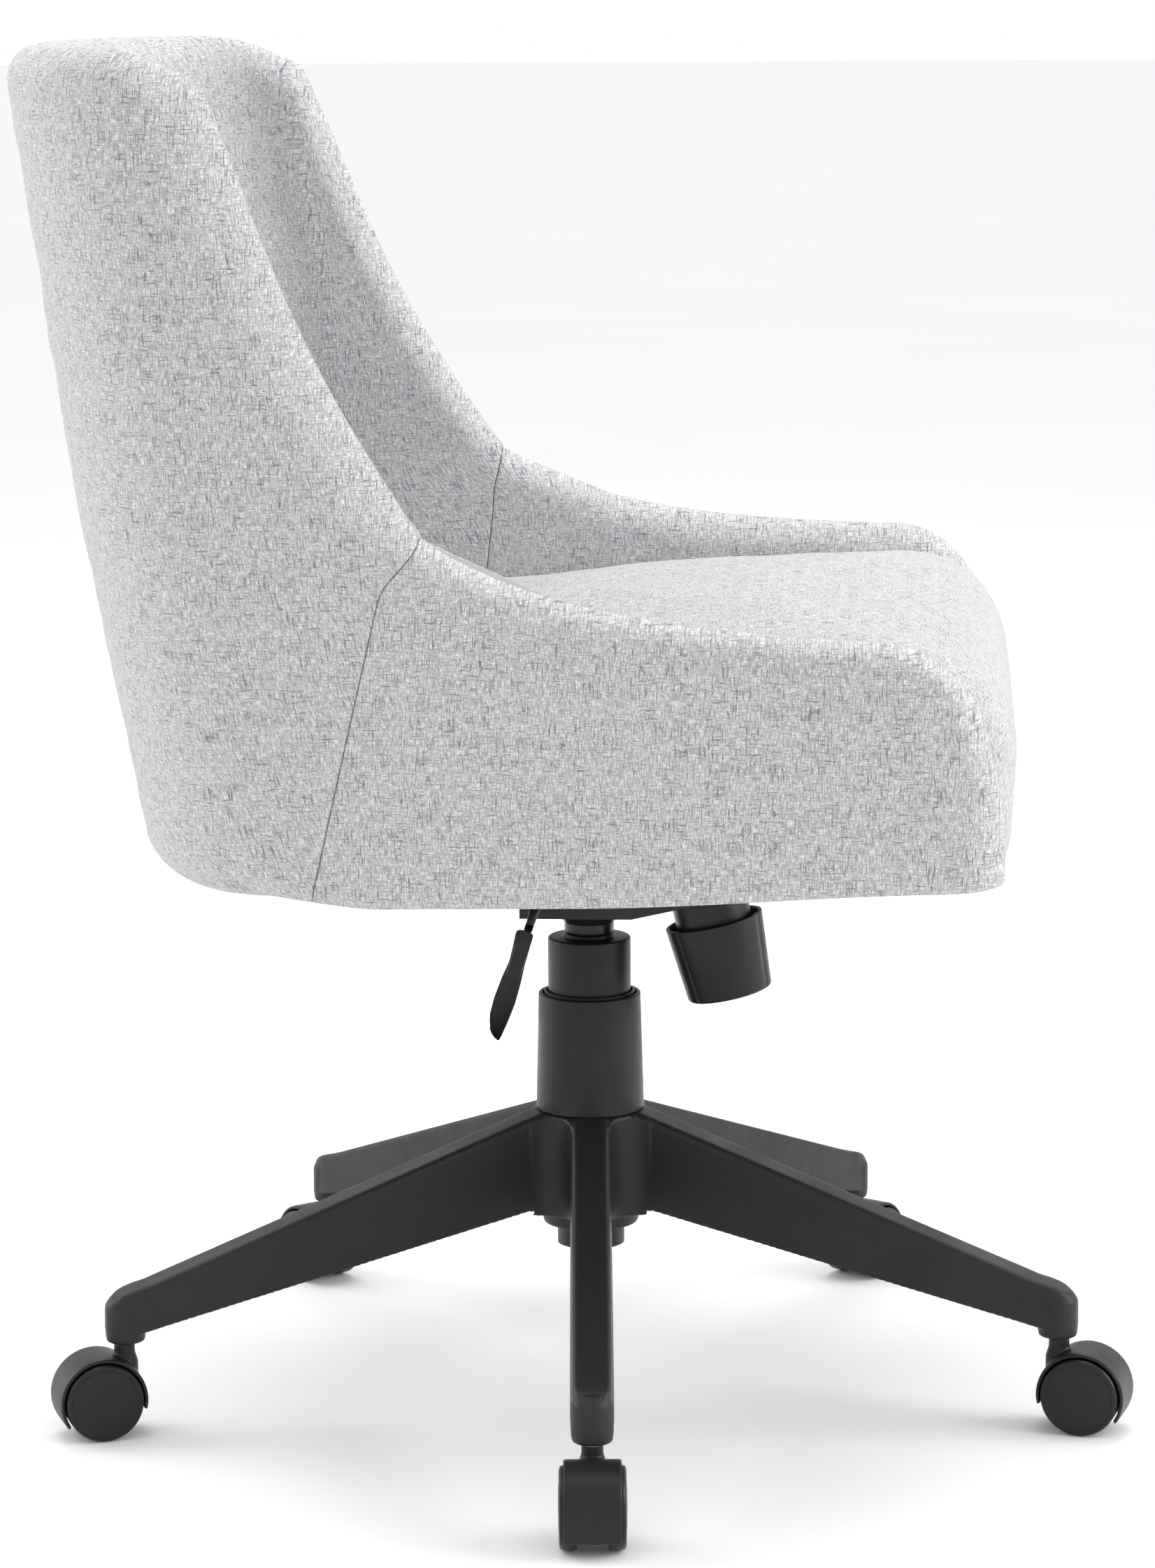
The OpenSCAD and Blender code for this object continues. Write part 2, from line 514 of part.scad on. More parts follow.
// steel straps under the seat board, three holes each
strap_u = [-60, 150];
function strap_x(u, s) = s * (inner_w(u, 0) - 8);
module straps(grow) raked() {
    g = grow;
    for (s = [-1, 1]) for (u = strap_u) translate([strap_x(u, s) - 32 - g, -u - 10 - g, -2.6 - g])
        cube([64 + 2 * g, 20 + 2 * g, 2.5 + 2 * g]);
    for (x = [-60, 60]) translate([x - 10 - g, 190 - g, -2.6 - g])
        cube([20 + 2 * g, 66 + 2 * g, 2.5 + 2 * g]);
}
module screw_holes(r) {
    for (s = [-1, 1]) for (u = strap_u) for (d = [-28, -14])
        translate([strap_x(u, s) + s * (d + 2), -u, -10]) cylinder(r = r, h = 10 + 12, $fn = 24);
    for (x = [-60, 60]) for (y = [195, 203]) translate([x, y, -10]) cylinder(r = r, h = 10 + 12, $fn = 24);
}
module frame_brackets() color(steel) difference() {
    straps(0);
    raked() screw_holes(2.1);
}
module frame_screws() color(steel) raked() intersection() {
    screw_holes(2);
    translate([-400, -400, -2.6]) cube([800, 800, 14.2]);
}
module back_board() color(wood) slab_back(0);
module arm_board(s) color(wood) slab_arm(s, 0);

// ---- padding ----
module back_padding() color(fabric) difference() {
    slab([for (t = back_t) for (q = back_q) back_pt(t, q, 1)],
        [for (t = back_t) for (q = back_q) back_pt(t, q, -1)], len(back_t) - 1, len(back_q) - 1);
    slab_back(0.6);
    straps(0.3);
}
module arm_padding(s) color(fabric) difference() {
    along = s > 0 ? arm_a : [for (i = [len(arm_a) - 1:-1:0]) arm_a[i]];
    slab([for (a = along) for (q = arm_q) arm_pt(a, q, 1, s)],
        [for (a = along) for (q = arm_q) arm_pt(a, q, -1, s)], len(arm_a) - 1, len(arm_q) - 1);
    slab_arm(s, 0.5);
    straps(0.3);
}
// cushion rings: height over the board, inset of sides, inset of front, scale towards the middle
ring_h = [[-3.4, 5, 9, 1], [6, 1.5, 4, 1], [30, 0.8, 0.5, 1], [58, 0.8, 0.5, 1], [86, 1.2, 5.5, 1],
    [106, 2.2, 14, 1], [119, 6, 25, 1], [127.5, 16, 42, 1], [135.5, 16, 42, 0.84], [141, 16, 42, 0.64],
    [147, 16, 42, 0.36]];
// half outline: rear centre to front centre
ring_s = [0.025, 0.08, 0.15, 0.22, 0.29, 0.36, 0.42, 0.47, 0.53, 0.6, 0.67, 0.72, 0.76, 0.8, 0.84, 0.88,
    0.91, 0.935, 0.96, 0.98, 0.995];
function cushion_pt(k, s, side) = let(
        h = ring_h[k],
        z = board_z + h[0],
        front = seat_front - h[2],
        uc = front - 44,
        b = 90 * (s - 0.72) / 0.28,
        w = bucket(1, z, 1.2 + h[1], uc)[0],
        p = s < 0.42 ? bucket(0.5 * s / 0.42, z, 1.2 + h[1], uc)
            : s < 0.72 ? bucket(0.5 + 0.5 * (s - 0.42) / 0.3, z, 1.2 + h[1], uc)
            : [w * pow(max(0, cos(b)), 0.4), uc + 44 * pow(max(0, sin(b)), 0.4)],
        u = 30 + (p[1] - 30) * h[3],
        dip = 6.5 * smooth((50 - u) / 120) * smooth((h[0] - 90) / 30))
    [side * p[0] * h[3], -u, board_z + u * tan(rake) + h[0] - dip];
module cushion_solid() {
    half = len(ring_s);
    m = 2 * half;
    n = len(ring_h);
    c = [0, -30, board_z + 30 * tan(rake) + crown];
    polyhedron(points = concat([for (k = [0:n - 1]) each concat(
            [for (i = [0:half - 1]) cushion_pt(k, ring_s[i], -1)],
            [for (i = [half - 1:-1:0]) cushion_pt(k, ring_s[i], 1)])], [c]),
        faces = concat(
            [[for (i = [0:m - 1]) i]],
            [for (k = [0:n - 2]) for (i = [0:m - 1]) let(a = k * m + i, b = k * m + (i + 1) % m) each
                [[a, a + m, b + m], [a, b + m, b]]],
            [for (i = [0:m - 1]) [(n - 1) * m + i, n * m, (n - 1) * m + (i + 1) % m]]),
        convexity = 4);
}
module seat_cushion() color(foam) difference() {
    cushion_solid();
    raked() translate([-400, -254.4, -60]) cube([800, 700, 60 + board_t + 0.3]);
}
module underside_cloth() color(black_steel) raked() difference() {
    translate([0, 0, -3.4]) linear_extrude(0.7) offset(delta = -1) board_outline();
    translate([-88, -113, -5]) cube([176, 206, 6]);
}

star_base();
column_tube();
guide_bush();
thrust_bearing();
cover_outer();
cover_middle();
cover_inner();
piston_rod();
retaining_clip();
pressure_tube();
release_button();
caster_hood(1);  // caster_hood_1
caster_hood(2);  // caster_hood_2
caster_hood(3);  // caster_hood_3
caster_hood(4);  // caster_hood_4
caster_hood(5);  // caster_hood_5
caster_pins(1);  // caster_pins_1
caster_pins(2);  // caster_pins_2
caster_pins(3);  // caster_pins_3
caster_pins(4);  // caster_pins_4
caster_pins(5);  // caster_pins_5
wheel(1, 1);  // wheel_1a
wheel(1, -1);  // wheel_1b
wheel(2, 1);  // wheel_2a
wheel(2, -1);  // wheel_2b
wheel(3, 1);  // wheel_3a
wheel(3, -1);  // wheel_3b
wheel(4, 1);  // wheel_4a
wheel(4, -1);  // wheel_4b
wheel(5, 1);  // wheel_5a
wheel(5, -1);  // wheel_5b
cone_socket();
housing();
spring_sleeve();
rubber_stops();
tilt_shaft();
seat_plate();
tension_pin();
tension_bolt();
tension_spring();
thrust_washer();
tension_knob();
lever_yoke();
yoke_pin();
lever_rod();
lever_paddle();
plate_bolts();
seat_board();
back_board();
arm_board(-1);  // arm_board_right
arm_board(1);  // arm_board_left
frame_brackets();
frame_screws();
back_padding();
arm_padding(-1);  // arm_padding_right
arm_padding(1);  // arm_padding_left
seat_cushion();
underside_cloth();
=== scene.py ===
import math
import bpy
import bmesh
import numpy as np
from mathutils import Matrix, Vector


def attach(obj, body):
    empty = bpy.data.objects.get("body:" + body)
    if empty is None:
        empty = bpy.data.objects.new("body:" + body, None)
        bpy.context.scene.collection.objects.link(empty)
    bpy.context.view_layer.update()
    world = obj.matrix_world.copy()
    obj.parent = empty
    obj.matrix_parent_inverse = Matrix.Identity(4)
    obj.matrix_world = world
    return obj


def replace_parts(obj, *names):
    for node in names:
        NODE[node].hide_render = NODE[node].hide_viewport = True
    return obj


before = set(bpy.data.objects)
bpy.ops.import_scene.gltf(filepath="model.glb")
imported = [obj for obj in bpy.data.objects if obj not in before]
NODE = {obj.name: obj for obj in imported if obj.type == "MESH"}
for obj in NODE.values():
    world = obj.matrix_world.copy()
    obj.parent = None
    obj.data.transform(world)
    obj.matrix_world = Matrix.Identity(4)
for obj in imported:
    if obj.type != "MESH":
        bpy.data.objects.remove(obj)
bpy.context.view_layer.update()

# ---------------------------------------------------------------- shader helpers


class Shader:
    """A material with one Principled surface and short names for the nodes it uses."""

    def __init__(self, name, color, roughness, metallic=0.0, specular=0.5):
        self.mat = bpy.data.materials.new(name)
        self.mat.use_nodes = True
        self.tree = self.mat.node_tree
        self.bsdf = next(n for n in self.tree.nodes if n.type == "BSDF_PRINCIPLED")
        self.bsdf.inputs["Base Color"].default_value = (*color, 1)
        self.bsdf.inputs["Roughness"].default_value = roughness
        self.bsdf.inputs["Metallic"].default_value = metallic
        self.bsdf.inputs["Specular IOR Level"].default_value = specular

    def node(self, kind, **values):
        n = self.tree.nodes.new(kind)
        for k, v in values.items():
            setattr(n, k, v)
        return n

    def link(self, a, b):
        self.tree.links.new(a, b)

    def coords(self):
        return self.node("ShaderNodeTexCoord").outputs["Object"]

    def cloth_coords(self):
        return self.node("ShaderNodeAttribute", attribute_name="weave").outputs["Vector"]

    def scaled(self, vec, scale):
        m = self.node("ShaderNodeMapping")
        m.inputs["Scale"].default_value = scale
        self.link(vec, m.inputs["Vector"])
        return m.outputs["Vector"]

    def noise(self, vec, scale, detail=2.0, rough=0.5):
        n = self.node("ShaderNodeTexNoise")
        n.inputs["Scale"].default_value = scale
        n.inputs["Detail"].default_value = detail
        n.inputs["Roughness"].default_value = rough
        self.link(vec, n.inputs["Vector"])
        return n.outputs["Fac"]

    def span(self, value, low, high, to_low=0.0, to_high=1.0):
        m = self.node("ShaderNodeMapRange")
        m.interpolation_type = "SMOOTHSTEP"
        m.inputs["From Min"].default_value = low
        m.inputs["From Max"].default_value = high
        m.inputs["To Min"].default_value = to_low
        m.inputs["To Max"].default_value = to_high
        self.link(value, m.inputs["Value"])
        return m.outputs["Result"]

    def math(self, op, a, b):
        m = self.node("ShaderNodeMath", operation=op)
        for i, x in enumerate((a, b)):
            if isinstance(x, (int, float)):
                m.inputs[i].default_value = x
            else:
                self.link(x, m.inputs[i])
        return m.outputs[0]

    def mix(self, fac, a, b):
        m = self.node("ShaderNodeMix", data_type="RGBA")
        if isinstance(fac, (int, float)):
            m.inputs["Factor"].default_value = fac
        else:
            self.link(fac, m.inputs["Factor"])
        for name, x in (("A", a), ("B", b)):
            s = next(i for i in m.inputs if i.name == name and i.type == "RGBA")
            if isinstance(x, tuple):
                s.default_value = (*x, 1)
            else:
                self.link(x, s)
        return next(o for o in m.outputs if o.type == "RGBA")

    def color(self, out):
        self.link(out, self.bsdf.inputs["Base Color"])

    def rough(self, out):
        self.link(out, self.bsdf.inputs["Roughness"])

    def bump(self, height, distance, strength=1.0, under=None):
        b = self.node("ShaderNodeBump")
        b.inputs["Strength"].default_value = strength
        b.inputs["Distance"].default_value = distance
        self.link(height, b.inputs["Height"])
        if under is not None:
            self.link(under, b.inputs["Normal"])
        return b.outputs["Normal"]

    def normal(self, out):
        self.link(out, self.bsdf.inputs["Normal"])


def fabric_material(name):
    """Heathered linen look: slubby pale threads with grey-violet flecks in both directions."""
    s = Shader(name, (0.55, 0.55, 0.56), 0.94, specular=0.12)
    v = s.cloth_coords()
    warp = s.noise(s.scaled(v, (1400, 190, 1)), 1.0, 1.0, 0.6)
    weft = s.noise(s.scaled(v, (210, 1300, 1)), 1.0, 1.0, 0.6)
    fleck = s.noise(s.scaled(v, (900, 900, 1)), 1.0, 1.0, 0.5)
    slub_a = s.noise(s.scaled(v, (860, 85, 1)), 1.0, 2.0, 0.6)
    slub_b = s.noise(s.scaled(v, (95, 800, 1)), 1.0, 2.0, 0.6)
    tint = s.noise(s.scaled(v, (210, 190, 1)), 1.0, 1.0, 0.5)
    patch = s.noise(s.scaled(v, (60, 45, 1)), 1.0, 2.0, 0.5)
    pale, mid, dark = (0.690, 0.685, 0.692), (0.365, 0.359, 0.374), (0.115, 0.110, 0.130)
    base = s.mix(s.span(warp, 0.40, 0.62, 1, 0), pale, mid)
    base = s.mix(s.span(weft, 0.38, 0.58, 0.85, 0), base, mid)
    streaks = s.math("MAXIMUM", s.span(slub_a, 0.54, 0.66, 0, 0.80),
                     s.span(slub_b, 0.55, 0.67, 0, 0.72))
    streaks = s.math("MULTIPLY", streaks, s.span(patch, 0.30, 0.68, 0.55, 1.1))
    base = s.mix(streaks, base, dark)
    base = s.mix(s.span(fleck, 0.56, 0.72, 0, 0.50), base, (0.84, 0.84, 0.84))
    base = s.mix(s.span(tint, 0.46, 0.66, 0, 0.20), base, (0.46, 0.41, 0.445))
    s.color(base)
    threads = s.math("ADD", s.math("MULTIPLY", warp, 0.5), s.math("MULTIPLY", weft, 0.5))
    s.rough(s.span(threads, 0.35, 0.7, 0.98, 0.86))
    s.bsdf.inputs["Sheen Weight"].default_value = 0.16
    s.bsdf.inputs["Sheen Roughness"].default_value = 0.5
    s.bsdf.inputs["Sheen Tint"].default_value = (1.0, 1.0, 1.0, 1)

    def bands(direction, scale):
        w = s.node("ShaderNodeTexWave", wave_type="BANDS", bands_direction=direction)
        w.inputs["Scale"].default_value = 1.0
        w.inputs["Distortion"].default_value = 1.2
        w.inputs["Detail"].default_value = 1.0
        w.inputs["Detail Scale"].default_value = 0.6
        s.link(s.scaled(v, scale), w.inputs["Vector"])
        return w.outputs["Fac"]

    grid = s.math("MULTIPLY", bands("X", (210, 30, 1)), bands("Y", (30, 210, 1)))
    height = s.math("ADD", s.math("MULTIPLY", grid, 0.4), threads)
    s.normal(s.bump(height, 0.0005, 0.6))
    return s.mat


def nylon_material(name, color, rough, grain=0.5, grain_scale=1500, mark=0.0):
    """Moulded black plastic: fine spark-eroded grain, cloudy gloss, faint rubbed edges."""
    s = Shader(name, color, rough, specular=0.30)
    v = s.coords()
    fine = s.noise(v, grain_scale, 2.0, 0.6)
    cloud = s.noise(v, 22.0, 4.0, 0.6)
    scuff = s.noise(s.scaled(v, (60, 60, 260)), 1.0, 3.0, 0.65)
    tone = tuple(c * 1.55 for c in color)
    base = s.mix(s.span(fine, 0.48, 0.75), color, tone)
    base = s.mix(s.span(cloud, 0.35, 0.75, 0, 0.4), base, tuple(c * 0.72 for c in color))
    if mark:
        base = s.mix(s.span(scuff, 0.62, 0.85, 0, mark), base, tuple(c * 2.6 for c in color))
    s.color(base)
    s.rough(s.math("ADD", s.span(cloud, 0.3, 0.75, rough - 0.06, rough + 0.07),
                   s.span(fine, 0.3, 0.8, -0.05, 0.06)))
    s.normal(s.bump(fine, 0.00022, grain))
    return s.mat


def metal_material(name, color, rough, brushed=0.3):
    """Plated steel: faint drawn streaks and a cloudy sheen."""
    s = Shader(name, color, rough, metallic=1.0)
    v = s.coords()
    streak = s.noise(s.scaled(v, (2600, 2600, 120)), 1.0, 2.0, 0.5)
    cloud = s.noise(v, 35.0, 4.0, 0.6)
    s.color(s.mix(s.span(cloud, 0.3, 0.75), color, tuple(c * 0.72 for c in color)))
    s.rough(s.math("ADD", s.span(streak, 0.25, 0.75, rough - 0.05, rough + 0.10),
                   s.span(cloud, 0.3, 0.8, 0, 0.06)))
    s.normal(s.bump(streak, 0.00008, brushed))
    return s.mat


def wood_material(name):
    """Plywood: wavy face grain with pores, and plies showing on the cut edges."""
    s = Shader(name, (0.56, 0.40, 0.24), 0.62, specular=0.3)
    v = s.coords()
    ring = s.node("ShaderNodeTexWave", wave_type="BANDS", bands_direction="X")
    ring.inputs["Scale"].default_value = 1.0
    ring.inputs["Distortion"].default_value = 6.0
    ring.inputs["Detail"].default_value = 3.0
    s.link(s.scaled(v, (26, 4, 26)), ring.inputs["Vector"])
    ply = s.node("ShaderNodeTexWave", wave_type="BANDS", bands_direction="Z")
    ply.inputs["Scale"].default_value = 1.0
    s.link(s.scaled(v, (1, 1, 180)), ply.inputs["Vector"])
    pore = s.noise(s.scaled(v, (900, 60, 900)), 1.0, 2.0, 0.5)
    base = s.mix(ring.outputs["Fac"], (0.60, 0.44, 0.27), (0.46, 0.31, 0.17))
    base = s.mix(s.span(pore, 0.56, 0.7, 0, 0.5), base, (0.28, 0.17, 0.09))
    base = s.mix(s.math("MULTIPLY", ply.outputs["Fac"], 0.18), base, (0.30, 0.19, 0.10))
    s.color(base)
    s.normal(s.bump(pore, 0.0002, 0.4))
    return s.mat


def felt_material(name):
    """Black non-woven cloth with a dimpled bond pattern."""
    s = Shader(name, (0.020, 0.020, 0.022), 0.95, specular=0.15)
    v = s.coords()
    cell = s.node("ShaderNodeTexVoronoi")
    cell.inputs["Scale"].default_value = 520.0
    s.link(v, cell.inputs["Vector"])
    fibre = s.noise(v, 900.0, 3.0, 0.7)
    base = s.mix(s.span(fibre, 0.4, 0.75), (0.016, 0.016, 0.018), (0.050, 0.050, 0.054))
    s.color(base)
    s.rough(s.span(fibre, 0.3, 0.8, 0.86, 1.0))
    s.bsdf.inputs["Sheen Weight"].default_value = 0.12
    s.normal(s.bump(s.math("ADD", cell.outputs["Distance"], fibre), 0.0003, 0.6))
    return s.mat


FABRIC = fabric_material("heathered_linen")
NYLON = nylon_material("grained_nylon", (0.0165, 0.0160, 0.0165), 0.46, 0.75, 1300, 0.05)
SATIN = nylon_material("satin_plastic", (0.0105, 0.0098, 0.0102), 0.42, 0.25, 2600, 0.04)
WHEEL = nylon_material("wheel_plastic", (0.0105, 0.0100, 0.0104), 0.36, 0.22, 2200, 0.03)
POWDER = nylon_material("powder_coat", (0.0135, 0.0135, 0.0145), 0.36, 0.45, 1500, 0.03)
GLOSS = nylon_material("gloss_black", (0.0100, 0.0100, 0.0108), 0.24, 0.10, 1500, 0.02)
RUBBER = nylon_material("black_rubber", (0.0150, 0.0150, 0.0150), 0.72, 0.4, 900, 0.0)
STEEL = metal_material("zinc_steel", (0.62, 0.63, 0.65), 0.30)
WOOD = wood_material("plywood")
FELT = felt_material("dust_cloth_black")

# ---------------------------------------------------------------- mesh helpers


def make_piece(name, verts, faces, material, body, weave=None, sharp=None):
    """verts in metres. weave is one (x, y, z) cloth coordinate per vertex, in metres."""
    me = bpy.data.meshes.new(name)
    me.from_pydata([tuple(p) for p in verts], [], faces)
    bm = bmesh.new()
    bm.from_mesh(me)
    bmesh.ops.recalc_face_normals(bm, faces=bm.faces)
    bm.to_mesh(me)
    bm.free()
    me.shade_smooth()
    if weave is not None:
        a = me.attributes.new("weave", "FLOAT_VECTOR", "POINT")
        a.data.foreach_set("vector", np.asarray(weave, np.float32).ravel())
    me.materials.append(material)
    ob = bpy.data.objects.new(name, me)
    bpy.context.scene.collection.objects.link(ob)
    if sharp is not None:
        me.set_sharp_from_angle(angle=math.radians(sharp))
    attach(ob, body)
    return ob


def apply_modifiers(ob):
    dg = bpy.context.evaluated_depsgraph_get()
    me = bpy.data.meshes.new_from_object(ob.evaluated_get(dg))
    old = ob.data
    ob.modifiers.clear()
    ob.data = me
    bpy.data.meshes.remove(old)


def rounded(profile, steps=4):
    """profile: (r, z, fillet) corners of a closed outline. Returns the points with each corner rounded."""
    out = []
    n = len(profile)
    for i, (r, z, f) in enumerate(profile):
        p = np.array([r, z], float)
        if f <= 0:
            out.append(tuple(p))
            continue
        a = np.array(profile[i - 1][:2], float) - p
        b = np.array(profile[(i + 1) % n][:2], float) - p
        la, lb = np.linalg.norm(a), np.linalg.norm(b)
        a, b = a / la, b / lb
        half = math.acos(max(-1, min(1, float(a @ b)))) / 2
        cut = min(f / max(1e-6, math.tan(half)), la * 0.49, lb * 0.49)
        rad = cut * math.tan(half)
        centre = p + (a + b) / np.linalg.norm(a + b) * (rad / max(1e-6, math.sin(half)))
        s, e = p + a * cut, p + b * cut
        a0 = math.atan2(*(s - centre)[::-1])
        a1 = math.atan2(*(e - centre)[::-1])
        turn = (a1 - a0 + math.pi) % (2 * math.pi) - math.pi
        for k in range(steps + 1):
            t = a0 + turn * k / steps
            out.append((centre[0] + rad * math.cos(t), centre[1] + rad * math.sin(t)))
    return out


def lathe(profile, n=96, steps=4, carve=None):
    """Closed solid of revolution about Z from (r, z, fillet) corners in mm.

    Points with r = 0 meet at the axis. carve(r, z, angle) is how much is cut off the radius there.
    """
    verts, rows = [], []
    for r, z in rounded(profile, steps=steps):
        if r < 1e-6:
            rows.append([len(verts)])
            verts.append((0, 0, z))
            continue
        rows.append(list(range(len(verts), len(verts) + n)))
        for k in range(n):
            a = 2 * math.pi * k / n
            cut_r = r - carve(r, z, a) if carve else r
            verts.append((cut_r * math.cos(a), cut_r * math.sin(a), z))
    faces = []
    for i in range(len(rows)):
        a, b = rows[i], rows[(i + 1) % len(rows)]
        if len(a) == 1 and len(b) == 1:
            continue
        for k in range(n):
            j = (k + 1) % n
            if len(a) == 1:
                faces.append((a[0], b[k], b[j]))
            elif len(b) == 1:
                faces.append((a[k], b[0], a[j]))
            else:
                faces.append((a[k], b[k], b[j], a[j]))
    return verts, faces


def moved(verts, matrix):
    return [(matrix @ Vector(v)) / 1000 for v in verts]


def turned(name, node, profile, matrix, material, body, n):
    """A turned piece that stands for a CAD node. profile is in mm along the axis of matrix."""
    v, f = lathe(profile, n, 5)
    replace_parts(make_piece(name, moved(v, matrix), f, material, body, sharp=38), node)


def merged(name, parts, voxel, smooth_steps, keep, material, body, factor=0.5):
    """Joins closed shells (verts in mm, faces) into one moulded solid with softened edges."""
    verts, faces = [], []
    for v, f in parts:
        o = len(verts)
        verts += [tuple(p) for p in v]
        faces += [tuple(i + o for i in q) for q in f]
    me = bpy.data.meshes.new(name)
    me.from_pydata(verts, [], faces)
    ob = bpy.data.objects.new(name, me)
    bpy.context.scene.collection.objects.link(ob)
    bm = bmesh.new()
    bm.from_mesh(me)
    bmesh.ops.recalc_face_normals(bm, faces=bm.faces)
    bm.to_mesh(me)
    bm.free()
    m = ob.modifiers.new("remesh", "REMESH")
    m.mode = "VOXEL"
    m.voxel_size = voxel
    m = ob.modifiers.new("smooth", "SMOOTH")
    m.factor = factor
    m.iterations = smooth_steps
    if keep < 1:
        m = ob.modifiers.new("decimate", "DECIMATE")
        m.ratio = keep
    bpy.context.view_layer.update()
    apply_modifiers(ob)
    ob.data.transform(Matrix.Scale(0.001, 4))
    ob.data.shade_smooth()
    ob.data.materials.clear()
    ob.data.materials.append(material)
    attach(ob, body)
    return ob


def loft(rings):
    """Closed shell through rings of equally many points, with flat ends."""
    m = len(rings[0])
    verts = [tuple(p) for r in rings for p in r]
    faces = [(k * m + i, k * m + (i + 1) % m, (k + 1) * m + (i + 1) % m, (k + 1) * m + i)
             for k in range(len(rings) - 1) for i in range(m)]
    faces.append(tuple(range(m))[::-1])
    faces.append(tuple(range((len(rings) - 1) * m, len(rings) * m)))
    return verts, faces


def placed(part, matrix):
    v, f = part
    return [tuple(matrix @ Vector(p)) for p in v], f


def waves(x, y, z, size, seed):
    """Smooth repeatable unevenness, about -1 to 1, from a few crossed sine waves."""
    rng = np.random.RandomState(seed)
    out = 0
    for _ in range(7):
        d = rng.normal(size=3)
        d = d / np.linalg.norm(d) * (2 * math.pi / size) * rng.uniform(0.6, 1.7)
        out = out + np.sin(d[0] * x + d[1] * y + d[2] * z + rng.uniform(0, 6.28))
    return out / 3.2


# ---------------------------------------------------------------- the shell's surface, in mm, u forward

BOARD_Z, RAKE = 387.0, math.radians(2.3)  # height of the seat board's underside at u = 0, and its rise
KINK_Z, ARM_Z = 595.0, 536.0  # where the wing's front edge meets the arm, and the arm's level top
PAD, SPLAY = 46.0, 0.125  # wall thickness, and how fast the arms part towards the front
HALF_PAD = PAD / 2
SIDE_T, N_PLAN = 0.74, 2.35  # where the plan's rounded rear ends (t from -1 to 1), and how square it is
SEAM_R = 1.5  # rounding of the skin where it turns into a seam


def step(x):
    t = np.clip(x, 0, 1)
    return t * t * (3 - 2 * t)


def rim_z(u):
    """Lower edge of the upholstery: the skin hangs a little lower beside the arms than under the back."""
    return BOARD_Z - 4.5 + u * math.tan(RAKE) - 7.5 * step((u + 175) / 70) * step((245 - u) / 230)


def seam_shift(z):
    """The seam runs steeper on the inner face than on the outer one."""
    return np.minimum(19.0 * step((598 - z) / 42) + 0.14 * np.maximum(0, 560 - z), 27.0)


def rear_u(z):
    return -274 - 0.168 * (z - 370) - 3.5 * np.sin(np.pi * (z - 370) / 493)


def corner_u(z):
    return -150 - 0.155 * (z - 380)


def half_w(z):
    low = 275 - 13 * (np.maximum(0, 590 - z) / 214) ** 2
    high = 275 - 26 * (np.maximum(0, z - 590) / 267) ** 1.2
    return np.where(z < 590, low, high)


def side_w(u, z):
    return half_w(z) + SPLAY * np.maximum(0, u - corner_u(z))


def seam_u(z):
    return -146 + 0.245 * (z - 380) + 15 * step((z - 560) / 35)


def ridge_u(z):
    return -78 - 0.529 * (z - KINK_Z) - 9 * np.sin(np.radians(0.9 * (z - KINK_Z)))


def wing_u(z):
    return np.where(z < KINK_Z, seam_u(z), ridge_u(z))


def back_top(u):
    return 881 - 24 * (np.maximum(0, u + 310) / 100) ** 3


def plan(t, z):
    """(v, u) of the bucket's outside at height z: t = 0 is the rear centre, -1 and 1 the wings' ends."""
    a = np.abs(t)
    s = np.where(t < 0, -1.0, 1.0)
    w, c = half_w(z), corner_u(z)
    b = c - rear_u(z)
    q = np.pi / 2 * np.minimum(1, a / SIDE_T)
    v1 = w * np.maximum(0, np.sin(q)) ** (2 / N_PLAN)
    u1 = c - b * np.maximum(0, np.cos(q)) ** (2 / N_PLAN)
    u2 = c + (a - SIDE_T) / (1 - SIDE_T) * (wing_u(z) - c)
    v2 = w + SPLAY * (u2 - c)
    side = a > SIDE_T
    return np.where(side, s * v2, s * v1), np.where(side, u2, u1)


def plan_n(t, z):
    """Outward normal of plan(), turned square to the chair's length along the sides."""
    p = plan(np.minimum(1, t + 0.01), z)
    m = plan(np.maximum(-1, t - 0.01), z)
    nv, nu = p[1] - m[1], m[0] - p[0]
    nu = nu * (1 - step((np.abs(t) - SIDE_T) / (1 - SIDE_T)))
    length = np.hypot(nv, nu)
    return nv / length, nu / length


def edge(d, r, p, least=0.0):
    """Half-thickness factor at distance d from an edge, with reach r and squareness p."""
    x = np.clip((r - d) / r, 0, 1)
    return np.maximum(least, (1 - x ** p) ** (1 / p))


def shell_mesh(rings, weave_rings):
    """Closed skin from stacked closed rings (k x m x 3): the first and last ring are zipped shut across."""
    k, m = len(rings), len(rings[0])
    verts = np.concatenate(rings)
    weave = np.concatenate(weave_rings)
    faces = [(a * m + i, a * m + (i + 1) % m, (a + 1) * m + (i + 1) % m, (a + 1) * m + i)
             for a in range(k - 1) for i in range(m)]
    half = m // 2
    for base, flip in ((0, True), ((k - 1) * m, False)):
        for i in range(half - 1):
            q = (base + i, base + i + 1, base + m - 2 - i, base + m - 1 - i)
            faces.append(q[::-1] if flip else q)
    return verts, weave, faces


# ---------------------------------------------------------------- upholstered back with wings


